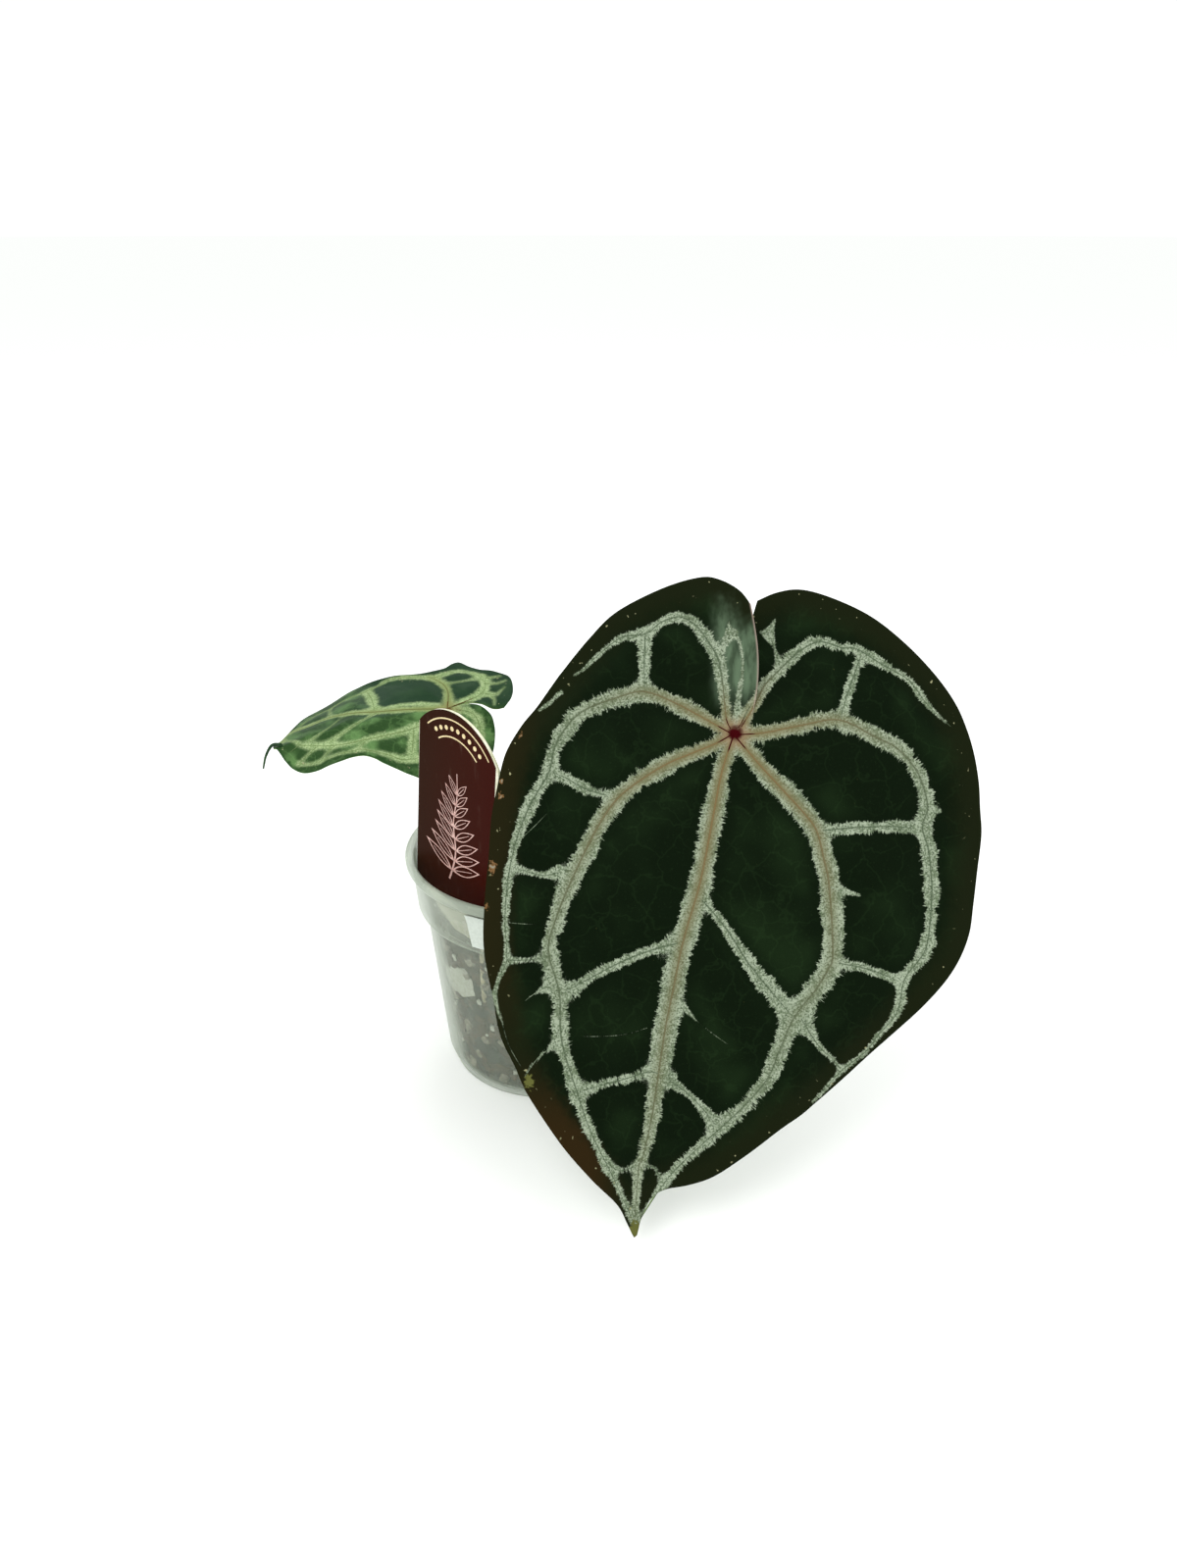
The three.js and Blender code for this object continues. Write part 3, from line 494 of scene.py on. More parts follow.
@dataclass(frozen=True)
class GlossyPrint(Look):
    """A printed gloss laminate: one deep tone that reddens to one side, with fine scuffs."""

    tone: str
    redder: str
    scuff: str

    def make(self) -> bpy.types.Material:
        """The material, which reads how far to the right a point of the label lies."""
        f = Finish(self.name)
        scuffs = f.ramp(f.noise(3.0, 4.0, Axis.UPRIGHT), 0.6, 0.8)
        tone = f.blend(f.attribute("rightward"), self.tone, self.redder)
        f.plain(
            Base_Color=f.blend(scuffs * 0.08, tone, self.scuff), Roughness=f.between(scuffs, 0.3, 0.45),
            Specular_IOR_Level=0.01)
        f.relief(f.noise(9.0), 0.1, 0.25)
        return f.material


@dataclass(frozen=True)
class PaperFinish(Look):
    """A matt paper or bare plastic face with faint fibres."""

    tone: str
    shaded: str
    roughness: float
    fibre: float

    def make(self) -> bpy.types.Material:
        """The material."""
        f = Finish(self.name)
        fibres = f.noise(self.fibre, 4.0)
        tone = f.blend(f.ramp(fibres, 0.35, 0.7), self.shaded, self.tone)
        f.plain(Base_Color=tone, Roughness=self.roughness)
        f.relief(fibres, 0.04, 0.5)
        return f.material


VELVET = BladeFinish(
    "velvet_leaf", tissue="081206", tissue_light="182813", tissue_shaded="2b1d0b", band="5f6c55",
    band_bright="929d88", band_dark="2c3926", band_warm="6b6444", rib="46543f", rib_warm="6f5b3c",
    hub="340306", margin="131809", under="4a6639", under_band="869a6c", bloom="596c55",
    feather=3.3, softness=0.22, margin_width=12.0, hub_radius=2.9, sheen=0.012, specular=0.02,
    roughness=0.65, rim_dark=0.7, shade_reach=11.0,
)
YOUNG = BladeFinish(
    "young_leaf", tissue="27411f", tissue_light="587a47", tissue_shaded="1a3220", band="778d5d",
    band_bright="9aae7e", band_dark="557042", band_warm="747f4b", rib="697b4b", rib_warm="60623a",
    hub="57411e", margin="22401c", under="7d9c5e", under_band="a9bd85", bloom="6c8a72", blush="7d7448",
    feather=1.8, softness=0.9, margin_width=1.3, hub_radius=1.4, sheen=0.02, specular=0.05, roughness=0.55,
    shade_reach=90.0, mottle=0.9, patch=9.0,
)
POT_FINISH = FrostedPlastic("frosted_pot", "a3ad9d", "b9c2b2", 0.165, 0.7)
BARK = GrainyFinish("bark", "2b1d13", "4d3826", "7a5f42", 0.9, 0.9, 0.35, Axis.LEVEL)
CHARCOAL = GrainyFinish("charcoal", "141412", "2a2b27", "4a4c45", 0.8, 0.82, 0.3)
PUMICE = GrainyFinish("pumice", "6f6b5c", "918c7a", "b8b3a0", 0.6, 0.93, 0.3)
PERLITE = GrainyFinish("perlite", "acb09f", "bfc3b3", "d9dbd1", 0.5, 0.9, 0.25)
PEAT = GrainyFinish("peat", "1e1710", "362b1f", "55493a", 1.2, 0.95, 0.5)
ROOT = GrainyFinish("roots", "9a9478", "bdb795", "d9d5ba", 0.7, 0.75, 0.15)
STEM = GrainyFinish("stem", "4d5a34", "6f7f4c", "93936a", 1.4, 0.7, 0.3, Axis.LEVEL)
SHEATH = GrainyFinish("dry_sheath", "5a3f24", "8a6a42", "b59a6c", 0.8, 0.85, 0.2, Axis.UPRIGHT)
STALK = StalkFinish("leaf_stalk", "5c7338", "86985a", "7c5a3c", 0.42)
PRINT = GlossyPrint("label_print", "2a160c", "350e08", "8d7a6c")
LABEL_CORE = PaperFinish("label_core", "e4e1cd", "c3c3a0", 0.4, 2.5)
LABEL_CREAM = PaperFinish("label_cream", "e3d3a4", "cdb985", 0.4, 0.8)
LABEL_PINK = PaperFinish("label_pink", "d9b6ac", "bd8f86", 0.4, 0.8)
STICKER = PaperFinish("sticker_paper", "c9d0c8", "bcc4bb", 0.6, 0.7)


def deselect() -> None:
    """Leaves object mode with nothing selected."""
    if bpy.context.mode != "OBJECT":
        bpy.ops.object.mode_set(mode="OBJECT")
    bpy.ops.object.select_all(action="DESELECT")


def pick(*objects: bpy.types.Object) -> None:
    """Selects these objects alone, with the first active."""
    deselect()
    for made in objects:
        made.select_set(True)
    bpy.context.view_layer.objects.active = objects[0]


def linked(name: str, data: bpy.types.ID) -> bpy.types.Object:
    """A new object of the scene."""
    made = bpy.data.objects.new(name, data)
    bpy.context.scene.collection.objects.link(made)
    return made


def mark(made: bpy.types.Object, name: str, values: np.ndarray | float) -> None:
    """Gives each point of a mesh a value, as an attribute."""
    layer = made.data.attributes.new(name, "FLOAT", "POINT")
    layer.data.foreach_set("value", np.broadcast_to(values, len(made.data.vertices)).astype(np.float32))


def smooth(made: bpy.types.Object, degrees: float) -> None:
    """Shades an object smooth, but for edges sharper than an angle."""
    pick(made)
    bpy.ops.object.shade_smooth_by_angle(angle=math.radians(degrees))


def settle(made: bpy.types.Object) -> None:
    """Applies an object's modifiers and its place to its mesh."""
    pick(made)
    for modifier in list(made.modifiers):
        bpy.ops.object.modifier_apply(modifier=modifier.name)
    bpy.ops.object.transform_apply(location=True, rotation=True, scale=True)


def thicken(made: bpy.types.Object, thickness: float) -> None:
    """Gives a sheet its thickness in millimetres, outwards from its faces."""
    sheet = made.modifiers.new("thickness", "SOLIDIFY")
    sheet.thickness = thickness * MM
    sheet.offset = 1.0
    settle(made)


def joined(name: str, parts: Sequence[bpy.types.Object]) -> bpy.types.Object:
    """One object of several.

    Args:
        name: the object's name.
        parts: the objects, at least two.

    Returns:
        The one object.
    """
    pick(*parts)
    bpy.ops.object.join()
    made = bpy.context.view_layer.objects.active
    made.name = name
    return made


def dress(made: bpy.types.Object, look: Look, slot: str, *nodes: str, angle: float = 0.0) -> None:
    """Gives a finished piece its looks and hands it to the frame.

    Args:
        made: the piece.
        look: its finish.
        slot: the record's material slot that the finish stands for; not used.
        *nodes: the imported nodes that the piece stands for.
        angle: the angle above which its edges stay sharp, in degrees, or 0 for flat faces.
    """
    if angle:
        smooth(made, angle)
    made.data.materials.clear()
    made.data.materials.append(look.make())
    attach(made, "root")
    if nodes:
        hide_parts(*nodes)
    LOG.info("%s: %d faces", made.name, len(made.data.polygons))


@dataclass
class Sketch:
    """The points, faces and point attributes of a mesh that is being put together."""

    points: list[np.ndarray] = field(default_factory=list)
    faces: list[Face] = field(default_factory=list)
    marks: dict[str, list[np.ndarray]] = field(default_factory=dict)
    count: int = 0

    def add(self, points: np.ndarray, faces: Sequence[Face], **marks: np.ndarray | float) -> None:
        """Adds a group of points in millimetres, the faces on them and their attributes.

        Args:
            points: the points, in millimetres.
            faces: the faces, by number in these points.
            **marks: each attribute's value, for all points or for each one.
        """
        start = self.count
        self.points.append(points)
        self.faces.extend(tuple(start + i for i in face) for face in faces)
        for name, value in marks.items():
            self.marks.setdefault(name, []).append(np.broadcast_to(value, (len(points),)).astype(float))
        self.count += len(points)

    def piece(self, name: str) -> bpy.types.Object:
        """The finished object, at the origin, with its place in its mesh."""
        mesh = bpy.data.meshes.new(name)
        mesh.from_pydata((np.concatenate(self.points) * MM).tolist(), [], self.faces)
        made = linked(name, mesh)
        for label, values in self.marks.items():
            mark(made, label, np.concatenate(values))
        mesh.validate()
        return made


def polar(radius: float, angle: float, height: float) -> Triple:
    """The place at a radius from the pot's middle line, an angle round it and a height."""
    return radius * math.cos(angle), radius * math.sin(angle), height


def jitter(rng: random.Random, count: int, low: float, high: float) -> np.ndarray:
    """Random points, each coordinate from low to high."""
    return np.array([[rng.uniform(low, high) for _ in range(3)] for _ in range(count)])


def run_of(line: np.ndarray) -> np.ndarray:
    """How far along a line each of its points lies."""
    return np.r_[0, np.cumsum(np.linalg.norm(np.diff(line, axis=0), axis=1))]


def squares(line: np.ndarray) -> np.ndarray:
    """The directions square to a flat line at its points."""
    heading = np.gradient(line, axis=0)
    heading /= np.linalg.norm(heading, axis=1, keepdims=True)
    return np.stack([-heading[:, 1], heading[:, 0]], 1)


def spline(points: Sequence[Sequence[float]], samples: int) -> np.ndarray:
    """A Catmull-Rom curve through points, evenly sampled along its length.

    Args:
        points: the points, in order.
        samples: how many places it gives.

    Returns:
        The places, one a row.
    """
    knots = np.array(points, float)
    last = len(knots) - 1
    fine = np.linspace(0, last, 24 * last + 1)
    index = np.minimum(fine.astype(int), last - 1)
    t = (fine - index)[:, None]
    before = knots[np.maximum(index - 1, 0)]
    start = knots[index]
    end = knots[index + 1]
    after = knots[np.minimum(index + 2, last)]
    leave = (end - before) / 2
    arrive = (after - start) / 2
    line = (2 * start - 2 * end + leave + arrive) * t**3
    line += (-3 * start + 3 * end - 2 * leave - arrive) * t**2 + leave * t + start
    lengths = run_of(line)
    even = np.linspace(0, lengths[-1], samples)
    return np.stack([np.interp(even, lengths, line[:, k]) for k in range(line.shape[1])], 1)


def smooth_step(low: float, high: float, value: np.ndarray | float) -> np.ndarray:
    """A smooth step from 0 at low to 1 at high, which may be the lower of the two."""
    share = np.clip((np.asarray(value, float) - low) / (high - low), 0, 1)
    return share * share * (3 - 2 * share)


def drawn(
    name: str, points: np.ndarray, radii: np.ndarray, closed: bool, **settings: str | float | bool
) -> bpy.types.Object:
    """A line that is drawn as a curve and made a mesh.

    Args:
        name: the object's name.
        points: the line's points, in millimetres.
        radii: how many times the curve's bevel it is thick at each point.
        closed: whether it runs back to its start.
        **settings: the curve's own settings.

    Returns:
        The mesh object.
    """
    curve = bpy.data.curves.new(name, "CURVE")
    for setting, value in settings.items():
        setattr(curve, setting, value)
    line = curve.splines.new("POLY")
    line.points.add(len(points) - 1)
    line.use_cyclic_u = closed
    for point, place, radius in zip(line.points, points, radii):
        point.co = (*(place * MM), 1.0)
        point.radius = float(radius)
    pick(linked(name, curve))
    bpy.ops.object.convert(target="MESH")
    return bpy.context.view_layer.objects.active


def tube(name: str, route: np.ndarray, radii: np.ndarray, resolution: int = 3) -> bpy.types.Object:
    """A round tube with closed ends, whose middle line and radii are in millimetres.

    Args:
        name: the object's name.
        route: the middle line.
        radii: the radius at each of its points.
        resolution: how finely it is rounded.

    Returns:
        The mesh object.
    """
    return drawn(
        name, route, radii, False, dimensions="3D", bevel_depth=MM, bevel_resolution=resolution,
        use_fill_caps=True)


def turned(name: str, rings: Sequence[Pair], segments: int) -> bpy.types.Object:
    """A turned body: a circle drawn up ring by ring, by extruding its edge and resizing it.

    Args:
        name: the object's name.
        rings: the radius and height of each ring, in millimetres, in order.
        segments: how many sides it has.

    Returns:
        The closed object, with both ends filled.
    """
    deselect()
    radius, height = rings[0]
    bpy.ops.mesh.primitive_circle_add(vertices=segments, radius=radius * MM, location=(0, 0, height * MM))
    made = bpy.context.view_layer.objects.active
    made.name = name
    bpy.ops.object.transform_apply(location=True, rotation=True, scale=True)
    bpy.ops.object.mode_set(mode="EDIT")
    bpy.ops.mesh.select_all(action="SELECT")
    for next_radius, next_height in rings[1:]:
        rise = (next_height - height) * MM
        bpy.ops.mesh.extrude_edges_move(TRANSFORM_OT_translate={"value": (0, 0, rise)})
        share = next_radius / radius
        bpy.ops.transform.resize(value=(share, share, 1), center_override=(0, 0, 0))
        radius, height = next_radius, next_height
    bpy.ops.mesh.select_all(action="SELECT")
    bpy.ops.mesh.fill_holes(sides=0)
    bpy.ops.mesh.select_all(action="SELECT")
    bpy.ops.mesh.normals_make_consistent(inside=False)
    bpy.ops.object.mode_set(mode="OBJECT")
    return made


@dataclass
class Pot:
    """The frosted pot: a rolled rim, an upper band, a ledge, a tapering wall and a small foot."""

    segments: int = 144
    rounding: float = 0.35
    sharp_angle: float = 18.0
    drain_count: int = 6
    drain_radius: float = 3.5
    drain_circle: float = 24.0
    milky_rim: float = 0.42
    milky_ledge: float = 0.3
    milky_foot: float = 0.34

    def outer(self) -> list[Pair]:
        """The outer profile, from the foot up to the rim."""
        rim_foot = POT_HEIGHT - POT_RIM_DEPTH
        return [
            (FOOT_RADIUS - 0.4, 0.0), (FOOT_RADIUS, 0.6), (FOOT_RADIUS, FOOT_HEIGHT),
            (WALL_FOOT_RADIUS - 0.8, FOOT_HEIGHT + 1.2), (WALL_FOOT_RADIUS, WALL_FOOT_HEIGHT),
            (WALL_TOP_RADIUS, LEDGE_HEIGHT - 2.2), (BAND_FOOT_RADIUS - 0.3, LEDGE_HEIGHT - 0.9),
            (BAND_FOOT_RADIUS, LEDGE_HEIGHT), (BAND_TOP_RADIUS, rim_foot),
            (POT_RIM_RADIUS - 0.6, rim_foot), (POT_RIM_RADIUS, rim_foot + 0.8),
            (POT_RIM_RADIUS, POT_HEIGHT - 1.0), (POT_RIM_RADIUS - 0.7, POT_HEIGHT),
        ]

    def inner(self) -> list[Pair]:
        """The inner profile, from the floor up to the rim."""
        return [
            (FOOT_RADIUS - 1.2, FLOOR_THICKNESS), (WALL_FOOT_RADIUS - 1.7, FOOT_HEIGHT + 2.4),
            (WALL_FOOT_RADIUS - POT_WALL, WALL_FOOT_HEIGHT + 0.6),
            (WALL_TOP_RADIUS - POT_WALL, LEDGE_HEIGHT - 1.6),
            (BAND_FOOT_RADIUS - POT_WALL, LEDGE_HEIGHT + 0.8),
            (BAND_TOP_RADIUS - POT_WALL, POT_HEIGHT - POT_RIM_DEPTH),
            (BAND_TOP_RADIUS - POT_WALL + 0.3, POT_HEIGHT - 0.8),
            (BAND_TOP_RADIUS - POT_WALL + 1.2, POT_HEIGHT),
        ]

    def inner_radius(self, height: np.ndarray) -> np.ndarray:
        """The radius of the inner wall at a height."""
        radii, heights = zip(*self.inner())
        return np.interp(height, heights, radii)

    def build(self) -> None:
        """Models the pot and its drain holes, and dresses it."""
        made = turned("pot_shell", self.outer() + self.inner()[::-1], self.segments)
        bevel = made.modifiers.new("rounding", "BEVEL")
        bevel.width = self.rounding * MM
        bevel.segments = 3
        bevel.limit_method = "ANGLE"
        bevel.angle_limit = math.radians(self.sharp_angle)
        settle(made)
        for i in range(self.drain_count):
            place = np.array(polar(self.drain_circle, (i + 0.5) / self.drain_count * 2 * math.pi, 0)) * MM
            deselect()
            bpy.ops.mesh.primitive_cylinder_add(
                vertices=24, radius=self.drain_radius * MM, depth=4 * FLOOR_THICKNESS * MM, location=place)
            cutter = bpy.context.view_layer.objects.active
            cut = made.modifiers.new("drain", "BOOLEAN")
            cut.operation = "DIFFERENCE"
            cut.object = cutter
            settle(made)
            bpy.data.objects.remove(cutter)
        self.mark_thick(made)
        dress(made, POT_FINISH, "pot_plastic", "pot", angle=35)

    def mark_thick(self, made: bpy.types.Object) -> None:
        """Marks where the plastic is thick enough to look milky: the rim, the ledge and the foot."""
        heights = np.array([vertex.co.z for vertex in made.data.vertices]) / MM
        rim = smooth_step(POT_HEIGHT - POT_RIM_DEPTH - 0.6, POT_HEIGHT - POT_RIM_DEPTH, heights)
        ledge = np.exp(-(((heights - LEDGE_HEIGHT + 0.6) / 1.1) ** 2))
        foot = smooth_step(WALL_FOOT_HEIGHT + 1.0, FOOT_HEIGHT, heights)
        mark(made, "thick", self.milky_rim * rim + self.milky_ledge * ledge + self.milky_foot * foot)


@dataclass
class Grit:
    """One kind of chunk in the mix."""

    name: str
    finish: GrainyFinish
    share: float
    size: Pair
    flatness: float


@dataclass
class PottingMix:
    """The chunky mix of bark, charcoal, pumice and perlite that fills the pot."""

    pot: Pot
    seed: int = 23
    chunk_angle: float = math.radians(-140.0)
    chunk_height: float = 45.8
    chunk_tilt: float = math.radians(22.0)
    chunk_size: Triple = (7.2, 1.3, 5.6)
    label_facing: Pair = (-0.715, -0.698)
    label_distance: float = 36.9
    label_foot: float = 65.0
    wall_chunks: int = 1150
    top_chunks: int = 620
    top_radius: float = 44.0
    top_depth: float = 1.4
    fill_top: float = MIX_TOP - 0.8
    fill_top_radius: float = 43.0
    fill_gap: float = 1.1
    fill_roughness: float = 0.012
    raggedness: Pair = (0.78, 1.18)
    grits: tuple[Grit, ...] = (
        Grit("mix_bark", BARK, 0.42, (2.4, 4.8), 0.45),
        Grit("mix_charcoal", CHARCOAL, 0.3, (1.6, 3.2), 0.8),
        Grit("mix_pumice", PUMICE, 0.18, (1.3, 2.6), 0.9),
        Grit("mix_perlite", PERLITE, 0.1, (0.6, 1.2), 0.9),
    )

    def chunk_form(self) -> tuple[np.ndarray, list[Face]]:
        """A rounded block of a few dozen faces, which each chunk copies."""
        deselect()
        bpy.ops.mesh.primitive_cube_add(size=2.0)
        block = bpy.context.view_layer.objects.active
        bpy.ops.object.mode_set(mode="EDIT")
        bpy.ops.mesh.select_all(action="SELECT")
        bpy.ops.mesh.subdivide(number_cuts=1)
        bpy.ops.object.mode_set(mode="OBJECT")
        cast = block.modifiers.new("round", "CAST")
        cast.factor = 0.55
        settle(block)
        points = np.array([vertex.co[:] for vertex in block.data.vertices])
        faces = [tuple(face.vertices) for face in block.data.polygons]
        bpy.data.objects.remove(block)
        return points, faces

    def turn(self, rng: random.Random) -> np.ndarray:
        """A random turn."""
        spin = np.array([rng.gauss(0, 1) for _ in range(4)])
        w, x, y, z = spin / np.linalg.norm(spin)
        return np.array([
            [1 - 2 * (y * y + z * z), 2 * (x * y - w * z), 2 * (x * z + w * y)],
            [2 * (x * y + w * z), 1 - 2 * (x * x + z * z), 2 * (y * z - w * x)],
            [2 * (x * z - w * y), 2 * (y * z + w * x), 1 - 2 * (x * x + y * y)],
        ])

    def seat(self, points: np.ndarray) -> np.ndarray:
        """Presses what would stand out of the pot against its wall and floor."""
        height = np.clip(points[:, 2], FLOOR_THICKNESS + SEAT_GAP, None)
        limit = self.pot.inner_radius(height) - SEAT_GAP - 0.1
        radius = np.hypot(points[:, 0], points[:, 1])
        share = np.minimum(1, limit / np.maximum(radius, 1e-6))
        return np.stack([points[:, 0] * share, points[:, 1] * share, height], 1)

    def build(self) -> None:
        """Models the fill and the chunks at the wall and on top, and dresses them."""
        rng = random.Random(self.seed)
        form, faces = self.chunk_form()
        sketches = {grit.name: Sketch() for grit in self.grits}
        for i in range(self.wall_chunks + self.top_chunks):
            grit = rng.choices(self.grits, [g.share for g in self.grits])[0]
            size = rng.uniform(*grit.size)
            angle = rng.uniform(0, 2 * math.pi)
            if i < self.wall_chunks:
                height = rng.uniform(FLOOR_THICKNESS + 1, MIX_TOP - 1)
                radius = float(self.pot.inner_radius(height)) - size * rng.uniform(0.4, 0.9)
            else:
                height = MIX_TOP - self.top_depth + rng.uniform(-0.9, 0.9)
                radius = self.top_radius * math.sqrt(rng.random())
            narrow = rng.uniform(0.6, 0.95)
            scale = size * np.array([1.0, narrow, grit.flatness * rng.uniform(0.6, 1)])
            ragged = jitter(rng, len(form), *self.raggedness)
            lump = (form * ragged * scale) @ self.turn(rng).T + polar(radius, angle, height)
            before_label = bool((self.beyond_label(lump) > 0).any()) and lump[:, 2].max() > self.label_foot
            if not before_label and not self.at_chunk(angle, height):
                sketches[grit.name].add(self.seat(lump), faces)
        sketches["mix_perlite"].add(self.seat(self.wall_chunk(form, rng)), faces)
        fill = self.fill()
        for grit in self.grits:
            dress(sketches[grit.name].piece(grit.name), grit.finish, "potting_mix", "substrate", angle=35)
        dress(fill, PEAT, "potting_mix", "substrate", angle=60)

    def beyond_label(self, points: np.ndarray) -> np.ndarray:
        """How far points lie beyond the label's back, towards the wall before it."""
        return points[:, :2] @ np.array(self.label_facing) - self.label_distance

    def at_chunk(self, angle: float, height: float) -> bool:
        """Whether a place at the wall is taken up by the large pale chunk."""
        away = (angle - self.chunk_angle + math.pi) % (2 * math.pi) - math.pi
        across = away * WALL_TOP_RADIUS / (self.chunk_size[0] + 1.0)
        return math.hypot(across, (height - self.chunk_height) / (self.chunk_size[2] + 1.5)) < 1

    def wall_chunk(self, form: np.ndarray, rng: random.Random) -> np.ndarray:
        """The large pale chunk that lies flat against the wall, at the front left.

        Args:
            form: the points of a plain chunk.
            rng: the source of its raggedness.

        Returns:
            Its points.
        """
        lump = form * jitter(rng, len(form), 0.92, 1.08) * self.chunk_size
        level, rise, _ = polar(1.0, self.chunk_tilt, 0.0)
        east, north, _ = polar(1.0, self.chunk_angle, 0.0)
        lean = np.array([[level, 0, -rise], [0, 1, 0], [rise, 0, level]])
        swing = np.array([[-north, east, 0], [-east, -north, 0], [0, 0, 1]])
        radius = float(self.pot.inner_radius(self.chunk_height)) - 1.2
        return lump @ lean.T @ swing + polar(radius, self.chunk_angle, self.chunk_height)

    def fill(self) -> bpy.types.Object:
        """The dark crumb behind the chunks."""
        levels = [FLOOR_THICKNESS + SEAT_GAP, *np.arange(5.0, MIX_TOP - 1, 3.0), self.fill_top]
        radii = self.pot.inner_radius(np.array(levels)) - self.fill_gap
        sides = [(float(radius), float(level)) for radius, level in zip(radii, levels)]
        shares = (0.9, 0.75, 0.6, 0.45, 0.3, 0.15)
        top = [(self.fill_top_radius * share, self.fill_top) for share in shares]
        made = turned("mix_fill", sides + top, 120)
        rng = random.Random(self.seed + 1)
        for vertex in made.data.vertices:
            vertex.co *= 1 - self.fill_roughness * rng.random()
            place = np.array([vertex.co[:]]) / MM
            beyond = float(self.beyond_label(place)[0])
            if beyond > 0 and place[0, 2] > self.label_foot:
                vertex.co.x -= beyond * self.label_facing[0] * MM
                vertex.co.y -= beyond * self.label_facing[1] * MM
        return made


@dataclass
class CrownAndRoots:
    """The short stem with its leaf scars, and the roots that run over and down through the mix."""

    radius: float = 6.6
    top: float = 96.0
    root_radius: float = 1.25
    root_samples: int = 60
    buried: int = 6
    crooks: float = 0.14
    seed: int = 4
    routes: tuple[tuple[Triple, ...], ...] = (
        ((-2, 0, 72), (-14, -1, 78), (-30, -1, 79), (-39, -2, 73), (-38.8, -6, 60), (-37, -11, 46),
         (-34.5, -14, 33)),
        ((0, -2, 71), (-4, -14, 78), (-11, -29, 77), (-19, -34.8, 67), (-20.2, -34, 56), (-20, -33, 42),
         (-17, -31, 31)),
        ((2, 1, 72), (14, 10, 78), (28, 22, 78), (33, 24, 69), (31.5, 23, 54), (28, 21, 42)),
        ((-1, 2, 73), (-6, 15, 79), (-13, 31, 77), (-15, 37, 66), (-14, 35, 52)),
        ((2, -1, 73), (14, -6, 79), (30, -11, 78), (38, -13, 69), (37, -14, 55), (34, -16, 40)),
    )

    def profile(self) -> list[Pair]:
        """The stem's outline, with a ring at each old leaf scar."""
        r = self.radius
        return [
            (1.0, 56.2), (3.0, 57.0), (5.2, 62.0), (r, 70.0), (r, 75.0), (r - 0.6, 76.0), (r - 0.1, 80.0),
            (r - 0.8, 81.0), (r - 0.3, 86.0), (r - 0.8, 90.0), (4.6, 94.0), (2.4, self.top - 0.4),
            (0.6, self.top),
        ]

    def build(self) -> None:
        """Models the stem and its roots, and dresses them."""
        rng = random.Random(self.seed)
        stem = turned("crown_stem", self.profile(), 40)
        roots = []
        for number, route in enumerate(self.routes):
            line = spline(route, self.root_samples)
            line[self.buried:] += jitter(rng, len(line) - self.buried, -self.crooks, self.crooks)
            along = np.linspace(0, 1, len(line))
            radii = self.root_radius * (1.25 - 0.5 * along) * (1 + 0.07 * np.sin(along * 60 + number))
            roots.append(tube(f"root_{number}", line, radii, 2))
        for made, look in ((stem, STEM), (joined("root_network", roots), ROOT)):
            dress(made, look, "stem_and_roots", "crown_and_roots", angle=50)


@dataclass
class Sheaths:
    """The dry papery collar round the stem, with a torn point between each two stalks."""

    foot: float = 81.0
    radius: float = 6.7 + SEAT_GAP
    thickness: float = 0.5
    segments: int = 120
    levels: int = 12
    lowest_rise: float = 3.0
    spread: float = 42.0
    flare: float = 0.012
    fold: float = 0.12
    folds: int = 23
    seed: int = 9
    points: tuple[Pair, ...] = ((62.0, 20.0), (212.0, 11.0), (265.0, 15.0))

    def rise(self, degrees: float) -> float:
        """How high the collar stands at an angle, before its tears."""
        rises = [
            rise * max(0.0, 1 - abs((degrees - at + 540) % 360 - 180) / self.spread) ** 0.8
            for at, rise in self.points
        ]
        return max(self.lowest_rise, *rises)

    def build(self) -> None:
        """Models the collar, gives it its thickness and dresses it."""
        rng = random.Random(self.seed)
        places: list[Triple] = []
        faces: list[Face] = []
        stride = self.levels + 1
        for i in range(self.segments):
            angle = i / self.segments * 360
            rise = self.rise(angle) + rng.uniform(-0.35, 0.1)
            turn = math.radians(angle)
            for step in range(stride):
                share = step / self.levels
                climb = rise * share
                fold = self.fold * math.sin(turn * self.folds) * share
                places.append(polar(self.radius + self.flare * climb**2 + fold, turn, self.foot + climb))
            for a in range(i * stride, i * stride + self.levels):
                b = (a + stride) % (self.segments * stride)
                faces.append((a, b, b + 1, a + 1))
        sketch = Sketch()
        sketch.add(np.array(places), faces)
        made = sketch.piece("sheath_collar")
        thicken(made, self.thickness)
        dress(made, SHEATH, "dry_sheath", "crown_sheaths", angle=60)


def view_line(points: np.ndarray) -> np.ndarray:
    """The lines of the reference view through points of its frame, one unit deep along its axis."""
    across = (points[:, 0] - VIEW_FRAME[0] / 2) / VIEW_FOCAL
    up = (VIEW_FRAME[1] / 2 - points[:, 1]) / VIEW_FOCAL
    return VIEW_AXIS + np.outer(across, VIEW_RIGHT) + np.outer(up, VIEW_UP)


@dataclass(frozen=True)
class Vein:
    """A vein: its line as points of the reference view, and its band's width along it."""

    line: tuple[Pair, ...]
    widths: tuple[float, ...]
    rib: float = 0.5
    faint: bool = False
    warm_reach: float = 0.0
    pale: bool = False


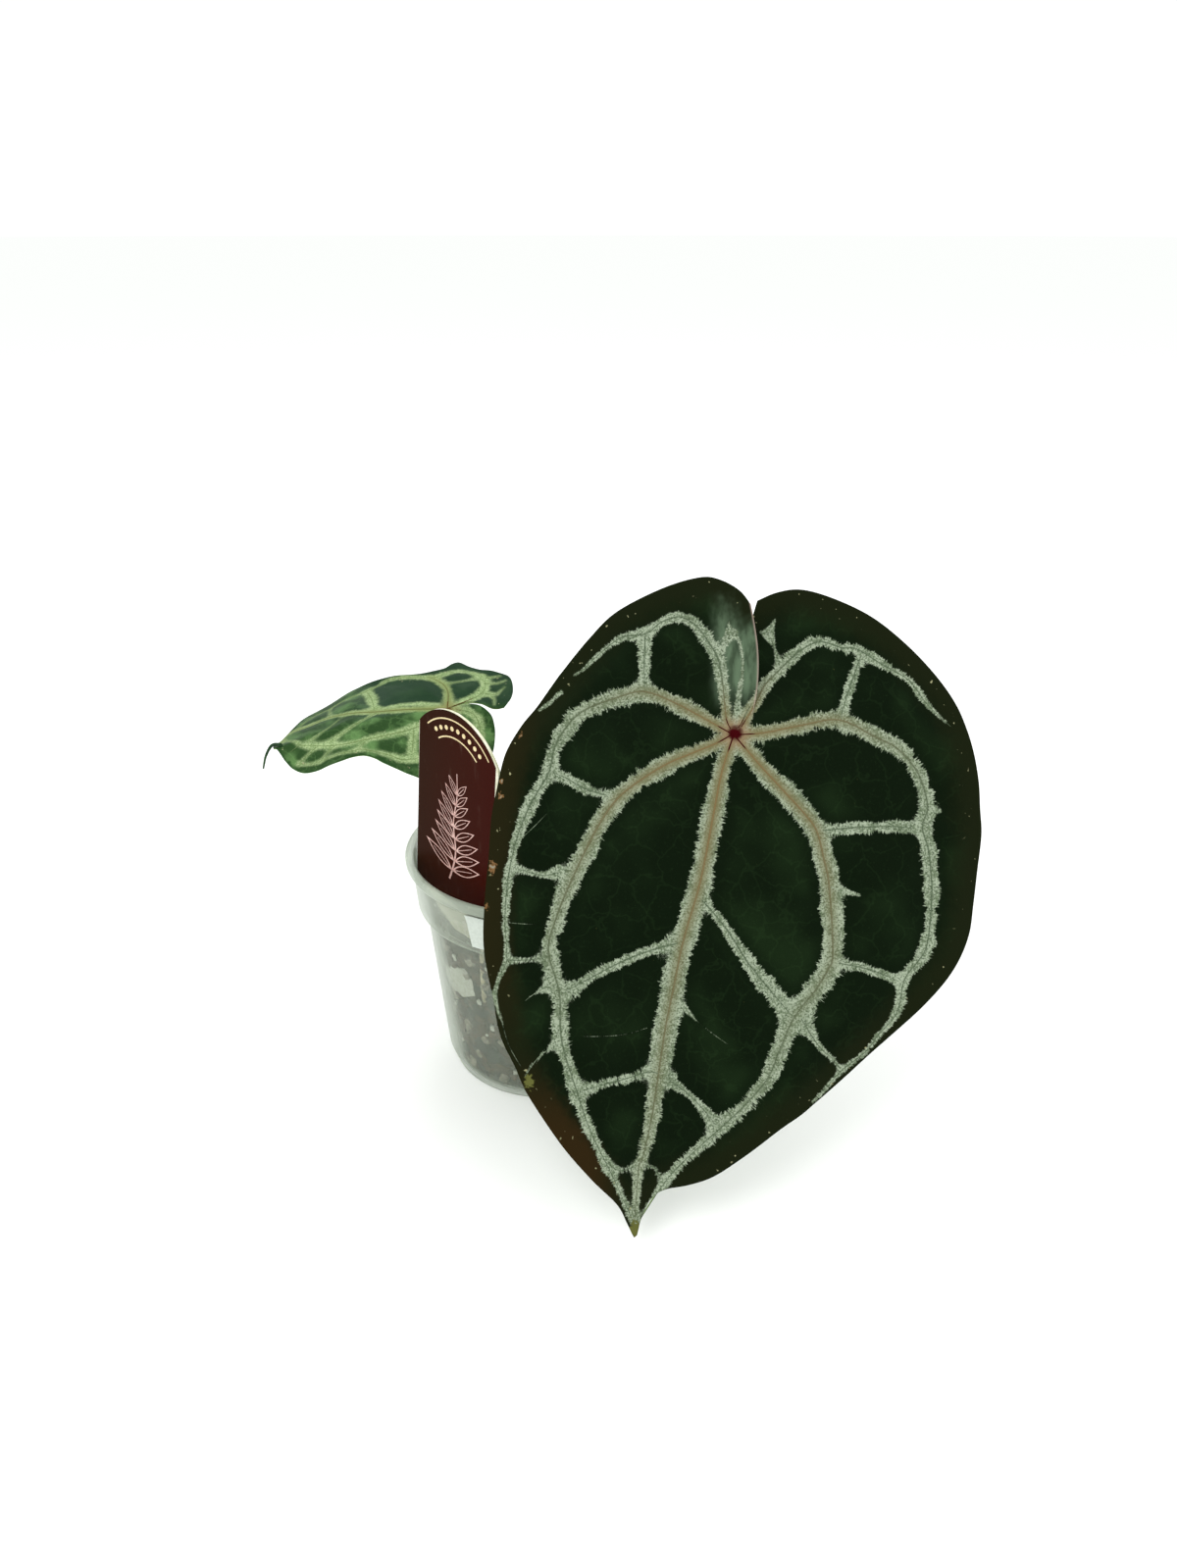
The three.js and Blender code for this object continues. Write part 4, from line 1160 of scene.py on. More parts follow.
@dataclass
class Blade:
    """A heart-shaped blade, as a fan of rays from the hub to the outline, alike on both faces."""

    name: str
    node: str
    slot: str
    finish: BladeFinish
    hub: Pair
    outline: tuple[Pair, ...]
    first_side: tuple[Pair, ...]
    last_side: tuple[Pair, ...]
    veins: tuple[Vein, ...]
    rays: int
    steps: int
    thickness: float
    vein_depth: float
    notch_reach: float = 25.0
    groove_width: float = 4.0
    rib_width: float = 3.0
    warm_width: float = 2.0
    field_step: float = 3.0
    web: float = 0.85
    far: float = 90.0
    run_gap: float = 57.0
    quilting: float = 0.45
    rib_step: float = 1.1
    rib_root: float = 0.12
    rib_rises: Pair = (0.16, 0.5)
    under_rib: float = 2.2
    probe: float = 20.0

    def flat(self, points: np.ndarray) -> np.ndarray:
        """The places on the flattened blade that points of the reference view show."""
        raise NotImplementedError

    def base(self, flat: np.ndarray) -> np.ndarray:
        """The points of the blade's middle surface, without veins and waves."""
        raise NotImplementedError

    def lift(self, around: np.ndarray, out: np.ndarray) -> np.ndarray:
        """How far the blade's waves and lobes lift it, by ray and by share of the way out."""
        raise NotImplementedError

    def marks(self, flat: np.ndarray, around: np.ndarray, out: np.ndarray) -> dict[str, np.ndarray]:
        """The attributes that only this blade has: how shaded it is, where it has a painted sheen and where
        it is scarred.
        """
        raise NotImplementedError

    def normal(self, flat: np.ndarray) -> np.ndarray:
        """The direction square to the blade, on its upper side."""
        along_a, along_b = (self.base(flat + half) - self.base(flat - half) for half in np.eye(2) / 2)
        cross = np.cross(along_a, along_b)
        return cross / np.linalg.norm(cross, axis=1, keepdims=True)

    def grid(self) -> tuple[np.ndarray, np.ndarray, np.ndarray]:
        """The flat places of the fan's points, with their ray and share of the way out.

        Returns:
            The places, how far round each lies and how far out, both from 0 to 1.
        """
        border = spline(self.flat(np.array(self.outline)), self.rays + 1)
        length = float(run_of(border)[-1])
        hub = self.flat(np.array([self.hub]))[0]
        share = np.arange(1, self.steps + 1) / self.steps
        place = hub + (border[:, None] - hub) * share[None, :, None]
        turn = np.linspace(0, 1, self.rays + 1)
        for side, away in ((self.first_side, turn), (self.last_side, 1 - turn)):
            line = spline(self.flat(np.array(side)), self.steps + 1)
            bend = line[1:] - (hub + (line[-1] - hub) * share[:, None])
            place = place + bend[None] * np.exp(-away * length / self.notch_reach)[:, None, None]
        around = np.repeat(turn, self.steps)
        out = np.tile(share, self.rays + 1)
        flat = np.vstack([hub, place.reshape(-1, 2)])
        return flat, np.r_[0, around], np.r_[0, out]

    def fields(self, flat: np.ndarray) -> dict[str, np.ndarray]:
        """How places lie to the veins.

        Args:
            flat: the places on the flattened blade.

        Returns:
            The distance to the nearest vein's line ("nearest"), how far along that vein it is ("run"),
            half the width of its band there ("span"), the distance past the edge of the bands
            ("band"), which is below zero inside one, and how tan the place is ("warmth").
        """
        size = len(flat)
        found = {name: np.full(size, self.far) for name in ("nearest", "band")}
        found.update({name: np.zeros(size) for name in ("run", "span", "warmth")})
        webbed = np.full(size, math.exp(-self.far / self.web))
        for number, vein in enumerate(self.veins):
            if vein.faint:
                continue
            line = self.flat(np.array(vein.line, float))
            line = spline(line, max(3, int(run_of(line)[-1] / self.field_step)))
            lengths = run_of(line)
            halves = np.interp(lengths, np.linspace(0, lengths[-1], len(vein.widths)), vein.widths) / 2
            own = np.full(size, self.far)
            for i in range(len(line) - 1):
                step = line[i + 1] - line[i]
                share = np.clip(((flat - line[i]) @ step) / (step @ step), 0, 1)
                away = np.linalg.norm(flat - line[i] - share[:, None] * step, axis=1)
                half = halves[i] + share * (halves[i + 1] - halves[i])
                along = lengths[i] + share * (lengths[i + 1] - lengths[i])
                past = away - half
                closer = past < found["band"]
                found["run"] = np.where(closer, along + self.run_gap * number, found["run"])
                found["span"] = np.where(closer, half, found["span"])
                found["band"] = np.minimum(found["band"], past)
                found["nearest"] = np.minimum(found["nearest"], away)
                own = np.minimum(own, past)
                if vein.warm_reach:
                    tan = np.exp(-((along / vein.warm_reach) ** 2) - (away / self.warm_width) ** 2)
                    found["warmth"] = np.maximum(found["warmth"], 0.9 * tan)
            webbed += np.exp(-own / self.web)
        found["band"] = -self.web * np.log(webbed)
        return found

    def faces_of(self) -> tuple[list[Face], list[Face], list[Face]]:
        """The faces of the upper fan, of the lower one, and of the border between them.

        Returns:
            The three lists of faces.
        """
        steps = self.steps
        under = 1 + (self.rays + 1) * steps
        upper: list[Face] = []
        for ray in range(self.rays):
            a = 1 + ray * steps
            b = a + steps
            upper.append((0, a, b))
            upper.extend((a + i, a + i + 1, b + i + 1, b + i) for i in range(steps - 1))
        lower = [tuple(under + i for i in reversed(face)) for face in upper]
        border: list[Face] = []
        for ray in range(self.rays):
            a = ray * steps + steps
            b = a + steps
            border.append((a, a + under, b + under, b))
        last = self.rays * steps
        for start, flip in ((0, False), (last, True)):
            line = [0, *range(start + 1, start + steps + 1)]
            for i, j in zip(line, line[1:]):
                face = (i, i + under, j + under, j)
                border.append(face[::-1] if flip else face)
        return upper, lower, border

    def build(self) -> None:
        """Models the blade and its ribs, marks its pattern and dresses it."""
        flat, around, out = self.grid()
        fields = self.fields(flat)
        nearest = fields.pop("nearest")
        rim = spline(self.flat(np.array(self.outline)), self.rays + 1)
        edge = np.array([np.min(np.linalg.norm(rim - place, axis=1)) for place in flat])
        edge[out >= 1] = 0
        groove = self.vein_depth * np.exp(-((nearest / self.groove_width) ** 2))
        quilt = self.quilting * smooth_step(1.0, 8.0, fields["band"]) * smooth_step(0.0, 8.0, edge)
        height = self.lift(around, out) - groove + quilt
        rib = self.vein_depth * np.exp(-((nearest / self.rib_width) ** 2))
        thin = 0.5 + 0.5 * smooth_step(0.0, 2.0, edge)
        depth = (self.thickness - self.vein_depth / 2) * thin + rib + quilt
        base = self.base(flat)
        normal = self.normal(flat)
        top = base + normal * height[:, None]
        bottom = base + normal * (height - depth)[:, None]
        upper, lower, border = self.faces_of()
        hub = np.linalg.norm(flat - flat[0], axis=1)
        common = {**fields, "edge": edge, "hub": hub, **self.marks(flat, around, out)}
        both = {label: np.r_[value, value] for label, value in common.items()}
        under = np.repeat([0.0, 1.0], len(flat))
        sketch = Sketch()
        sketch.add(np.vstack([top, bottom]), [*upper, *lower, *border], rib=0.0, under=under, **both)
        self.add_ribs(sketch, top, bottom, upper)
        made = sketch.piece(self.name)
        self.extend(made)
        dress(made, self.finish, self.slot, self.node, angle=50)

    def extend(self, made: bpy.types.Object) -> None:
        """Adds what grows beyond the blade, where there is any."""

    def add_ribs(self, sketch: Sketch, top: np.ndarray, bottom: np.ndarray, upper: list[Face]) -> None:
        """Lays a fine rib along each vein, on the upper face and larger on the lower one.

        Args:
            sketch: the blade's mesh.
            top: the points of the upper face.
            bottom: the points of the lower face.
            upper: the faces of the upper fan, on those points.
        """
        trees = [BVHTree.FromPolygons(points.tolist(), upper) for points in (top, bottom)]
        for vein in self.veins:
            if vein.rib > 0:
                self.lay_rib(sketch, trees[0], vein, Side.UPPER, vein.rib, self.rib_rises[0])
            if vein.rib > 0 and not vein.faint:
                self.lay_rib(sketch, trees[1], vein, Side.UNDER, vein.rib * self.under_rib, self.rib_rises[1])

    def rib_tone(self, vein: Vein) -> float:
        """How much of the ribs' own tone a vein's rib has, rather than that of the bands."""
        if vein.pale:
            return 0.0
        return 0.45 if vein.faint else 0.8

    def rib_ring(
        self, tree: BVHTree, place: np.ndarray, across: np.ndarray, side: Side, rise: float
    ) -> list[np.ndarray]:
        """The points round a rib at one place.

        Args:
            tree: the surface of the face that the rib lies on.
            place: the place on the flattened blade.
            across: the way across the rib there, as long as the rib is wide.
            side: the face.
            rise: the rib's height, in millimetres.

        Returns:
            Four points, or fewer where the rib runs past the blade's edge.
        """
        ring = []
        for offset, height in ((-0.5, -self.rib_root), (-0.28, rise), (0.28, rise), (0.5, -self.rib_root)):
            spot = (place + across * offset)[None]
            normal = self.normal(spot)[0] * side.value
            hit = tree.ray_cast(Vector(self.base(spot)[0] + normal * self.probe), Vector(-normal))[0]
            if hit is None:
                break
            ring.append(np.array(hit) + normal * height)
        return ring

    def lay_rib(
        self, sketch: Sketch, tree: BVHTree, vein: Vein, side: Side, width: float, rise: float
    ) -> None:
        """Lays one rib on one face.

        Args:
            sketch: the blade's mesh.
            tree: the face's surface.
            vein: the vein that the rib follows.
            side: the face.
            width: the rib's greatest width, in millimetres.
            rise: its greatest height, in millimetres.
        """
        line = self.flat(np.array(vein.line, float))
        length = float(run_of(line)[-1])
        count = max(6, int(length / self.rib_step))
        middle = spline(line, count)
        taper = np.sin(np.pi * np.clip(np.linspace(0.04, 1.0, count) * 0.93 + 0.05, 0, 1)) ** 0.35
        taper *= np.linspace(1.0, 0.55, count)
        rings = [
            self.rib_ring(tree, place, square * width * share, side, rise * share)
            for place, square, share in zip(middle, squares(middle), taper)
        ]
        rings = [ring for ring in rings if len(ring) == 4]
        if len(rings) < 3:
            return
        last = 4 * (len(rings) - 1)
        faces: list[Face] = []
        for a in range(last):
            b = a - a % 4 + (a + 1) % 4
            faces.append((a, b, b + 4, a + 4))
        faces += [(3, 2, 1, 0), (last, last + 1, last + 2, last + 3)]
        if side is Side.UPPER:
            faces = [face[::-1] for face in faces]
        flat = np.repeat(middle[: len(rings)], 4, axis=0)
        run = np.linspace(0, length, len(rings)).repeat(4)
        band, span = (0.05, 0.0) if vein.faint else (-1.5, 2.0)
        sketch.add(
            np.array(rings).reshape(-1, 3), faces, rib=self.rib_tone(vein), band=band, span=span, run=run,
            warmth=np.exp(-((run / vein.warm_reach) ** 2)) if vein.warm_reach else 0.0, edge=12.0,
            hub=np.linalg.norm(flat - self.flat(np.array([self.hub]))[0], axis=1),
            under=float(side is Side.UNDER), shaded=0.0, bloom=0.0, lip=0.0, scar=0.0, bleach=0.0)


@dataclass
class LargeBlade(Blade):
    """The large hanging blade, square to the reference view: a runs to its right and b up it."""

    scale: float = 0.3
    across_midrib: Pair = (0.981, -0.194)
    cross_bow: float = 850.0
    length_bow: float = 2000.0
    bow_centre: float = -45.0
    hub_rise: float = 1.0
    left_rise: float = 6.0
    scars: tuple[Spot, ...] = (
        ((501, 884), 1.5, 2.6), ((496, 925), 1.0, 1.6), ((647, 1262), 1.4, 2.0),
        ((510, 812), 1.3, 1.5), ((512, 796), 0.8, 1.3), ((532, 750), 0.9, 1.3),
    )
    bleached: tuple[Spot, ...] = (((539, 1105), 1.9, 2.2), ((647, 1256), 1.8, 3.4))
    right_fall: float = 2.0
    wave: float = 1.5
    wave_turns: float = 47.0

    def flat(self, points: np.ndarray) -> np.ndarray:
        """The places on the flattened blade that points of the reference view show."""
        return np.stack([points[:, 0] - self.hub[0], self.hub[1] - points[:, 1]], 1) * self.scale

    def base(self, flat: np.ndarray) -> np.ndarray:
        """The points of the blade's middle surface, without veins and waves."""
        seen = np.stack([self.hub[0] + flat[:, 0] / self.scale, self.hub[1] - flat[:, 1] / self.scale], 1)
        from_midrib = self.across_midrib[0] * flat[:, 0] + self.across_midrib[1] * flat[:, 1]
        along = flat[:, 1] - self.bow_centre
        bow = from_midrib**2 / self.cross_bow + along**2 / self.length_bow - self.hub_rise
        return VIEW_POINT + view_line(seen) * (VIEW_FOCAL * self.scale + bow)[:, None]

    def lift(self, around: np.ndarray, out: np.ndarray) -> np.ndarray:
        """The left lobe folded up, the right one down, and a gently waved edge.

        Args:
            around: how far round each place lies, from 0 to 1.
            out: how far out it lies, from 0 to 1.

        Returns:
            The lift, in millimetres.
        """
        left = smooth_step(0.15, 0.7, out) * (1 - smooth_step(0, 0.12, around))
        right = smooth_step(0.1, 0.5, out) * smooth_step(0.93, 1, around)
        waved = smooth_step(0.1, 0.2, around) * (1 - smooth_step(0.9, 1, around))
        wave = self.wave * out**4 * np.sin(around * self.wave_turns)
        return self.left_rise * left - self.right_fall * right + wave * waved

    def marks(self, flat: np.ndarray, around: np.ndarray, out: np.ndarray) -> dict[str, np.ndarray]:
        """Brown shading at the lower left, a painted sheen on the folded lobe, dry scars and a pale lip.

        Args:
            flat: the places on the flattened blade.
            around: how far round each place lies, from 0 to 1.
            out: how far out it lies, from 0 to 1.

        Returns:
            Each attribute's values.
        """
        a, b = flat.T
        low_left = 0.75 * smooth_step(-33, -46, a) * smooth_step(-96, -124, b)
        low_left += 0.25 * smooth_step(-56, -70, a) * smooth_step(-110, -60, b)
        # painted sheen on the folded inner strip of the left lobe, in streaks
        streaks = 0.85 + 0.15 * np.sin(2.1 * a + 1.3 * np.sin(b / 7))
        bloom = smooth_step(-9, -3, a) * smooth_step(6, 16, b) * smooth_step(52, 42, b) * streaks
        return {
            "shaded": low_left, "bloom": 0.92 * bloom * (around < 0.5),
            "lip": (around == 0) * smooth_step(0.1, 0.3, out),
            "scar": self.blotch(flat, self.scars), "bleach": self.blotch(flat, self.bleached),
        }

    def blotch(self, flat: np.ndarray, spots: Sequence[Spot]) -> np.ndarray:
        """Soft spots from 0 to 1.

        Args:
            flat: the places on the flattened blade.
            spots: the middle of each as a point of the view, and its reach across and up in millimetres.

        Returns:
            How far each place lies in a spot.
        """
        share = np.zeros(len(flat))
        for place, *reach in spots:
            away = (flat - self.flat(np.array([place], float))[0]) / reach
            share = np.maximum(share, np.exp(-(away**2).sum(1)))
        return share


@dataclass
class YoungBlade(Blade):
    """The young blade, nearly level: a runs from the hub to the tip and b to the near side."""

    start: Triple = (-34.5, 23.9, 132.6)
    heading: Pair = (-0.966, -0.17)
    turn: float = 0.0026
    fall: float = 0.00165
    middle: float = 30.0
    half_length: float = 35.0
    fold_width: float = 3.0
    near_slope: float = 0.4
    near_gain: float = 0.3
    far_at_lobe: float = 0.28
    far_at_tip: float = -0.2
    wave: float = 1.1
    wave_turns: float = 31.0
    drip_start: Pair = (286, 759)
    tip: Pair = (277, 759)
    drip_bends: tuple[Triple, ...] = ((-2.1, -2.0, -3.2), (-3.0, -4.2, -7.4))
    drip_radius: float = 0.75

    def flat(self, points: np.ndarray) -> np.ndarray:
        """The places that points of the view show, found by Newton's steps on the surface.

        Args:
            points: points of the view's frame.

        Returns:
            The places.
        """
        line = view_line(points)
        right = np.cross(line, VIEW_UP)
        right /= np.linalg.norm(right, axis=1, keepdims=True)
        up = np.cross(right, line)
        up /= np.linalg.norm(up, axis=1, keepdims=True)

        def miss(flat: np.ndarray) -> tuple[np.ndarray, np.ndarray]:
            """How far the surface's points lie from the view's lines, across and up."""
            away = self.base(flat) - VIEW_POINT
            return (away * right).sum(1), (away * up).sum(1)

        flat = np.stack([(self.hub[0] - points[:, 0]) * 0.35, (points[:, 1] - self.hub[1]) * 0.5], 1)
        small = 0.01
        for _ in range(40):
            x, y = miss(flat)
            xa, ya = ((v - w) / small for v, w in zip(miss(flat + [small, 0]), (x, y)))
            xb, yb = ((v - w) / small for v, w in zip(miss(flat + [0, small]), (x, y)))
            size = xa * yb - xb * ya
            step = np.stack([(x * yb - y * xb) / size, (y * xa - x * ya) / size], 1)
            flat = flat - np.clip(step, -4, 4)
        return flat

    def base(self, flat: np.ndarray) -> np.ndarray:
        """The points of the blade's middle surface, without veins and waves.

        Args:
            flat: the places on the flattened blade.

        Returns:
            The points, in millimetres.
        """
        a, b = flat.T
        heading = np.array([*self.heading, 0.0])
        heading /= np.linalg.norm(heading)
        side = np.array([-heading[1], heading[0], 0.0])
        middle = np.minimum(1, np.abs(a - self.middle) / self.half_length) ** 2
        share = 0.5 + 0.5 * np.tanh(b / self.fold_width)
        near = self.near_slope + self.near_gain * middle
        far = self.far_at_lobe + (self.far_at_tip - self.far_at_lobe) * smooth_step(-10, 62, a)
        slope = far + (near - far) * share
        along = np.array(self.start) + np.outer(a, heading)
        along += np.outer(self.turn * a * a + b * np.cos(slope), side)
        along[:, 2] -= self.fall * a * a + b * np.sin(slope)
        return along

    def lift(self, around: np.ndarray, out: np.ndarray) -> np.ndarray:
        """A gently waved edge."""
        return self.wave * out**3 * np.sin(around * self.wave_turns)

    def marks(self, flat: np.ndarray, around: np.ndarray, out: np.ndarray) -> dict[str, np.ndarray]:
        """A far half darkened by painted shade, with a painted sheen in its large inner cell."""
        none = np.zeros(len(flat))
        far = smooth_step(2.0, -3.0, flat[:, 1])
        inner = smooth_step(36, 26, flat[:, 0])
        # painted sheen in the large inner cell of the far half, and painted shade on the far half below
        sheen = far * inner * smooth_step(8, 16, flat[:, 0])
        shaded = far * (0.3 + 0.6 * inner)
        return {"shaded": shaded, "bloom": 0.3 * sheen, "lip": none, "scar": none, "bleach": none}

    def extend(self, made: bpy.types.Object) -> None:
        """Adds the thin hooked drip tip."""
        ends = self.flat(np.array([self.drip_start, self.tip], float))
        inside = self.base(ends) - self.normal(ends) * self.thickness / 2
        line = spline([*inside, *(inside[1] + np.array(self.drip_bends))], 22)
        drip = tube("drip_tip", line, self.drip_radius * np.linspace(1.0, 0.4, len(line)))
        for label, value in (("band", 4.0), ("edge", 3.0), ("hub", 80.0), ("shaded", 0.8)):
            mark(drip, label, value)
        pick(made, drip)
        bpy.ops.object.join()


@dataclass
class Stalk:
    """A leaf stalk from its socket in the stem to the back of its blade."""

    name: str
    node: str
    route: tuple[Triple, ...]
    radius: float
    seat_depth: float
    blade: Blade
    samples: int = 90
    foot_swell: float = 0.45
    joint_swell: float = 0.22
    warm_reaches: Pair = (9.0, 12.0)

    def build(self) -> None:
        """Models the stalk, thicker at its foot and in the joint under the blade."""
        hub = self.blade.flat(np.array([self.blade.hub], float))
        seat = self.blade.base(hub)[0] - self.blade.normal(hub)[0] * (self.seat_depth - 0.5)
        line = spline([*self.route, seat], self.samples)
        along = np.linspace(0, 1, len(line))
        foot = 1 - smooth_step(0, 0.16, along)
        joint = smooth_step(0.84, 0.92, along) - 2.2 * smooth_step(0.975, 1.0, along)
        swell = self.foot_swell * foot + self.joint_swell * joint
        made = tube(self.name, line, self.radius * (1 + swell), 6)
        places = np.array([vertex.co[:] for vertex in made.data.vertices]) / MM
        ends = [
            np.exp(-((np.linalg.norm(places - end, axis=1) / reach) ** 2))
            for end, reach in zip((line[-1], line[0]), self.warm_reaches)
        ]
        mark(made, "ends", np.maximum(*ends))
        dress(made, STALK, "leaf_stalk", self.node, angle=50)


@dataclass
class StakeLabel:
    """The arched stake label: a pale plastic plate with a dark printed panel on its front."""

    width: float = 40.8
    shoulder: float = 46.8
    arch_rise: float = 11.1
    thickness: float = 0.8
    panel_foot: float = -14.8
    tip: float = -52.0
    print_foot: float = -17.6
    print_inset: float = 0.22
    print_shift: float = 0.43
    film: float = 0.05
    bead_radius: float = 0.85
    bead_inset: float = 6.1
    arc_insets: Pair = (3.0, 9.2)
    arc_width: float = 0.5
    sprig_line: tuple[Pair, ...] = ((-2.0, -8.0), (0.8, 4.0), (-0.8, 16.0), (0.6, 27.0), (0.2, 36.0))
    sprig_widths: Pair = (0.8, 0.3)
    spine_widths: Pair = (0.3, 0.15)
    spine_share: float = 0.72
    hollow_share: float = 0.84
    leaflet_pairs: int = 8
    leaflet_spacing: int = 6
    leaflet_angle: float = 24.0
    leaflet_size: Pair = (16.0, 4.2)
    centre: Triple = (-29.5, -25.5, 94.6)
    across: Triple = (0.694, -0.708, -0.1355)
    up: Triple = (0.0844, -0.1055, 0.9895)

    def placement(self) -> Matrix:
        """Where the label's own axes lie: across, up and out of its front."""
        facing = Vector(self.across).cross(Vector(self.up)).normalized()
        up = facing.cross(Vector(self.across)).normalized()
        across = up.cross(facing)
        matrix = Matrix((across, up, facing)).transposed().to_4x4()
        matrix.translation = Vector(self.centre) * MM
        return matrix

    def arch(self, inset: float) -> list[Pair]:
        """The arch, from its right shoulder to its left one, moved inwards by an inset.

        Args:
            inset: how far inwards, in millimetres.

        Returns:
            Places across and up the label.
        """
        half = self.width / 2
        radius = (half**2 + self.arch_rise**2) / (2 * self.arch_rise)
        spread = math.asin(half / radius)
        middle = self.shoulder + self.arch_rise - radius
        reach = radius - inset
        turns = np.linspace(spread, -spread, 49)
        points = [(reach * math.sin(t), middle + reach * math.cos(t)) for t in turns]
        return [(x, y) for x, y in points if abs(x) <= half - inset]

    def plate(
        self, name: str, outline: Sequence[Pair] | np.ndarray, low: float, high: float, round_off: float = 0.0
    ) -> bpy.types.Object:
        """A flat plate on the label, drawn as a filled curve and made a mesh.

        Args:
            name: the object's name.
            outline: its outline, across and up the label in millimetres.
            low: how far its back lies out of the label's front face.
            high: how far its front does.
            round_off: the radius of its edges.

        Returns:
            The mesh object, at its place.
        """
        made = drawn(
            name, np.pad(np.array(outline, float), ((0, 0), (0, 1))), np.ones(len(outline)), True,
            dimensions="2D", fill_mode="BOTH", extrude=((high - low) / 2 - round_off) * MM,
            bevel_depth=round_off * MM, offset=-round_off * MM)
        made.data.transform(Matrix.Translation((0, 0, (low + high) / 2 * MM)))
        rightward = np.array([vertex.co.x for vertex in made.data.vertices]) / (self.width / 2 * MM)
        mark(made, "rightward", np.clip(rightward, 0, 1))
        made.data.transform(self.placement())
        return made

    def ribbon(self, line: np.ndarray, width: float, end_width: float) -> np.ndarray:
        """The outline of a flat ribbon along a line."""
        half = squares(line) * np.linspace(width, end_width, len(line))[:, None] / 2
        return np.vstack([(line - half)[::-1], line + half])

    def leaflet(self, foot: np.ndarray, angle: float, length: float, width: float) -> np.ndarray:
        """The outline of a pointed leaflet, from its foot in a direction in degrees.

        Args:
            foot: where it starts.
            angle: its direction, in degrees.
            length: its length.
            width: its greatest width.

        Returns:
            The outline's points.
        """
        share = np.linspace(0, 1, 9)
        along = np.array(polar(1.0, math.radians(angle), 0.0)[:2])
        spine = foot + np.outer(share * length, along)
        half = np.outer(width / 2 * np.sin(np.pi * share**0.85), (-along[1], along[0]))
        return np.vstack([spine - half, (spine + half)[-2:0:-1]])

    def outline(self) -> list[Pair]:
        """The whole label, from the tip of its stake round to the left."""
        half = self.width / 2
        return [
            (7.0, self.tip), (11.5, self.tip + 8), (12.0, -27.0), (half, self.panel_foot),
            (half, self.shoulder), *self.arch(0.0)[1:-1], (-half, self.shoulder), (-half, self.panel_foot),
            (-7.9, -24.0), (2.0, -28.5), (2.5, self.tip + 8),
        ]

    def build(self) -> None:
        """Models the plate, the printed panel and a plain ornament of lines and leaflets."""
        core = self.plate("label_plate", self.outline(), -self.thickness, 0.0, 0.04)
        dress(core, LABEL_CORE, "label_plastic", "plant_label", angle=30)
        side = self.width / 2 - self.print_inset
        panel = [(side, self.print_foot), *self.arch(self.print_inset), (-side, self.panel_foot)]
        panel.append((-side + self.panel_foot - self.print_foot, self.print_foot))
        panel = [(x - self.print_shift, y) for x, y in panel]
        front = self.plate("label_panel", panel, 0.0, self.film)
        dress(front, PRINT, "label_plastic", "plant_label")
        self.ornament("label_border", LABEL_CREAM, self.border())
        self.ornament("label_sprig", LABEL_PINK, self.sprig())

    def ornament(self, name: str, look: Look, outlines: Sequence[np.ndarray]) -> None:
        """Lays flat shapes in one tone on the printed panel, as one piece."""
        film = self.film
        shapes = [self.plate(f"{name}_{i}", outline, film, 2 * film) for i, outline in enumerate(outlines)]
        dress(joined(name, shapes), look, "label_plastic")

    def border(self) -> list[np.ndarray]:
        """Two arcs under the arch, with beads between them."""
        lines = [np.array(self.arch(inset))[3:-3] for inset in self.arc_insets]
        turns = np.linspace(0, 2 * math.pi, 12, endpoint=False)
        ring = self.bead_radius * np.stack([np.cos(turns), np.sin(turns)], 1)
        arcs = [self.ribbon(line, self.arc_width, self.arc_width) for line in lines]
        return arcs + [bead + ring for bead in np.array(self.arch(self.bead_inset))[5:-5:4]]

    def sprig(self) -> list[np.ndarray]:
        """A sprig with paired hollow leaflets, each with its midline."""
        stem = spline(self.sprig_line, 60)
        length, width = self.leaflet_size
        shapes = [self.ribbon(stem, *self.sprig_widths)]
        for number in range(self.leaflet_pairs):
            foot = stem[self.leaflet_spacing * (number + 1)]
            angle = self.leaflet_angle + 4 * number
            for way in (angle, 180 - angle):
                shape = self.leaflet(foot, way, length - 1.2 * number, width - 0.25 * number)
                spine = np.array([foot, foot + self.spine_share * (shape[8] - foot)])
                shapes += [self.hollow(shape), self.ribbon(spine, *self.spine_widths)]
        return shapes

    def hollow(self, shape: np.ndarray) -> np.ndarray:
        """A thin closed line round a shape, as one outline that runs round it and back inside."""
        middle = shape.mean(0)
        inside = middle + (shape - middle) * self.hollow_share
        return np.vstack([shape, shape[:1], inside[:1], inside[::-1]])


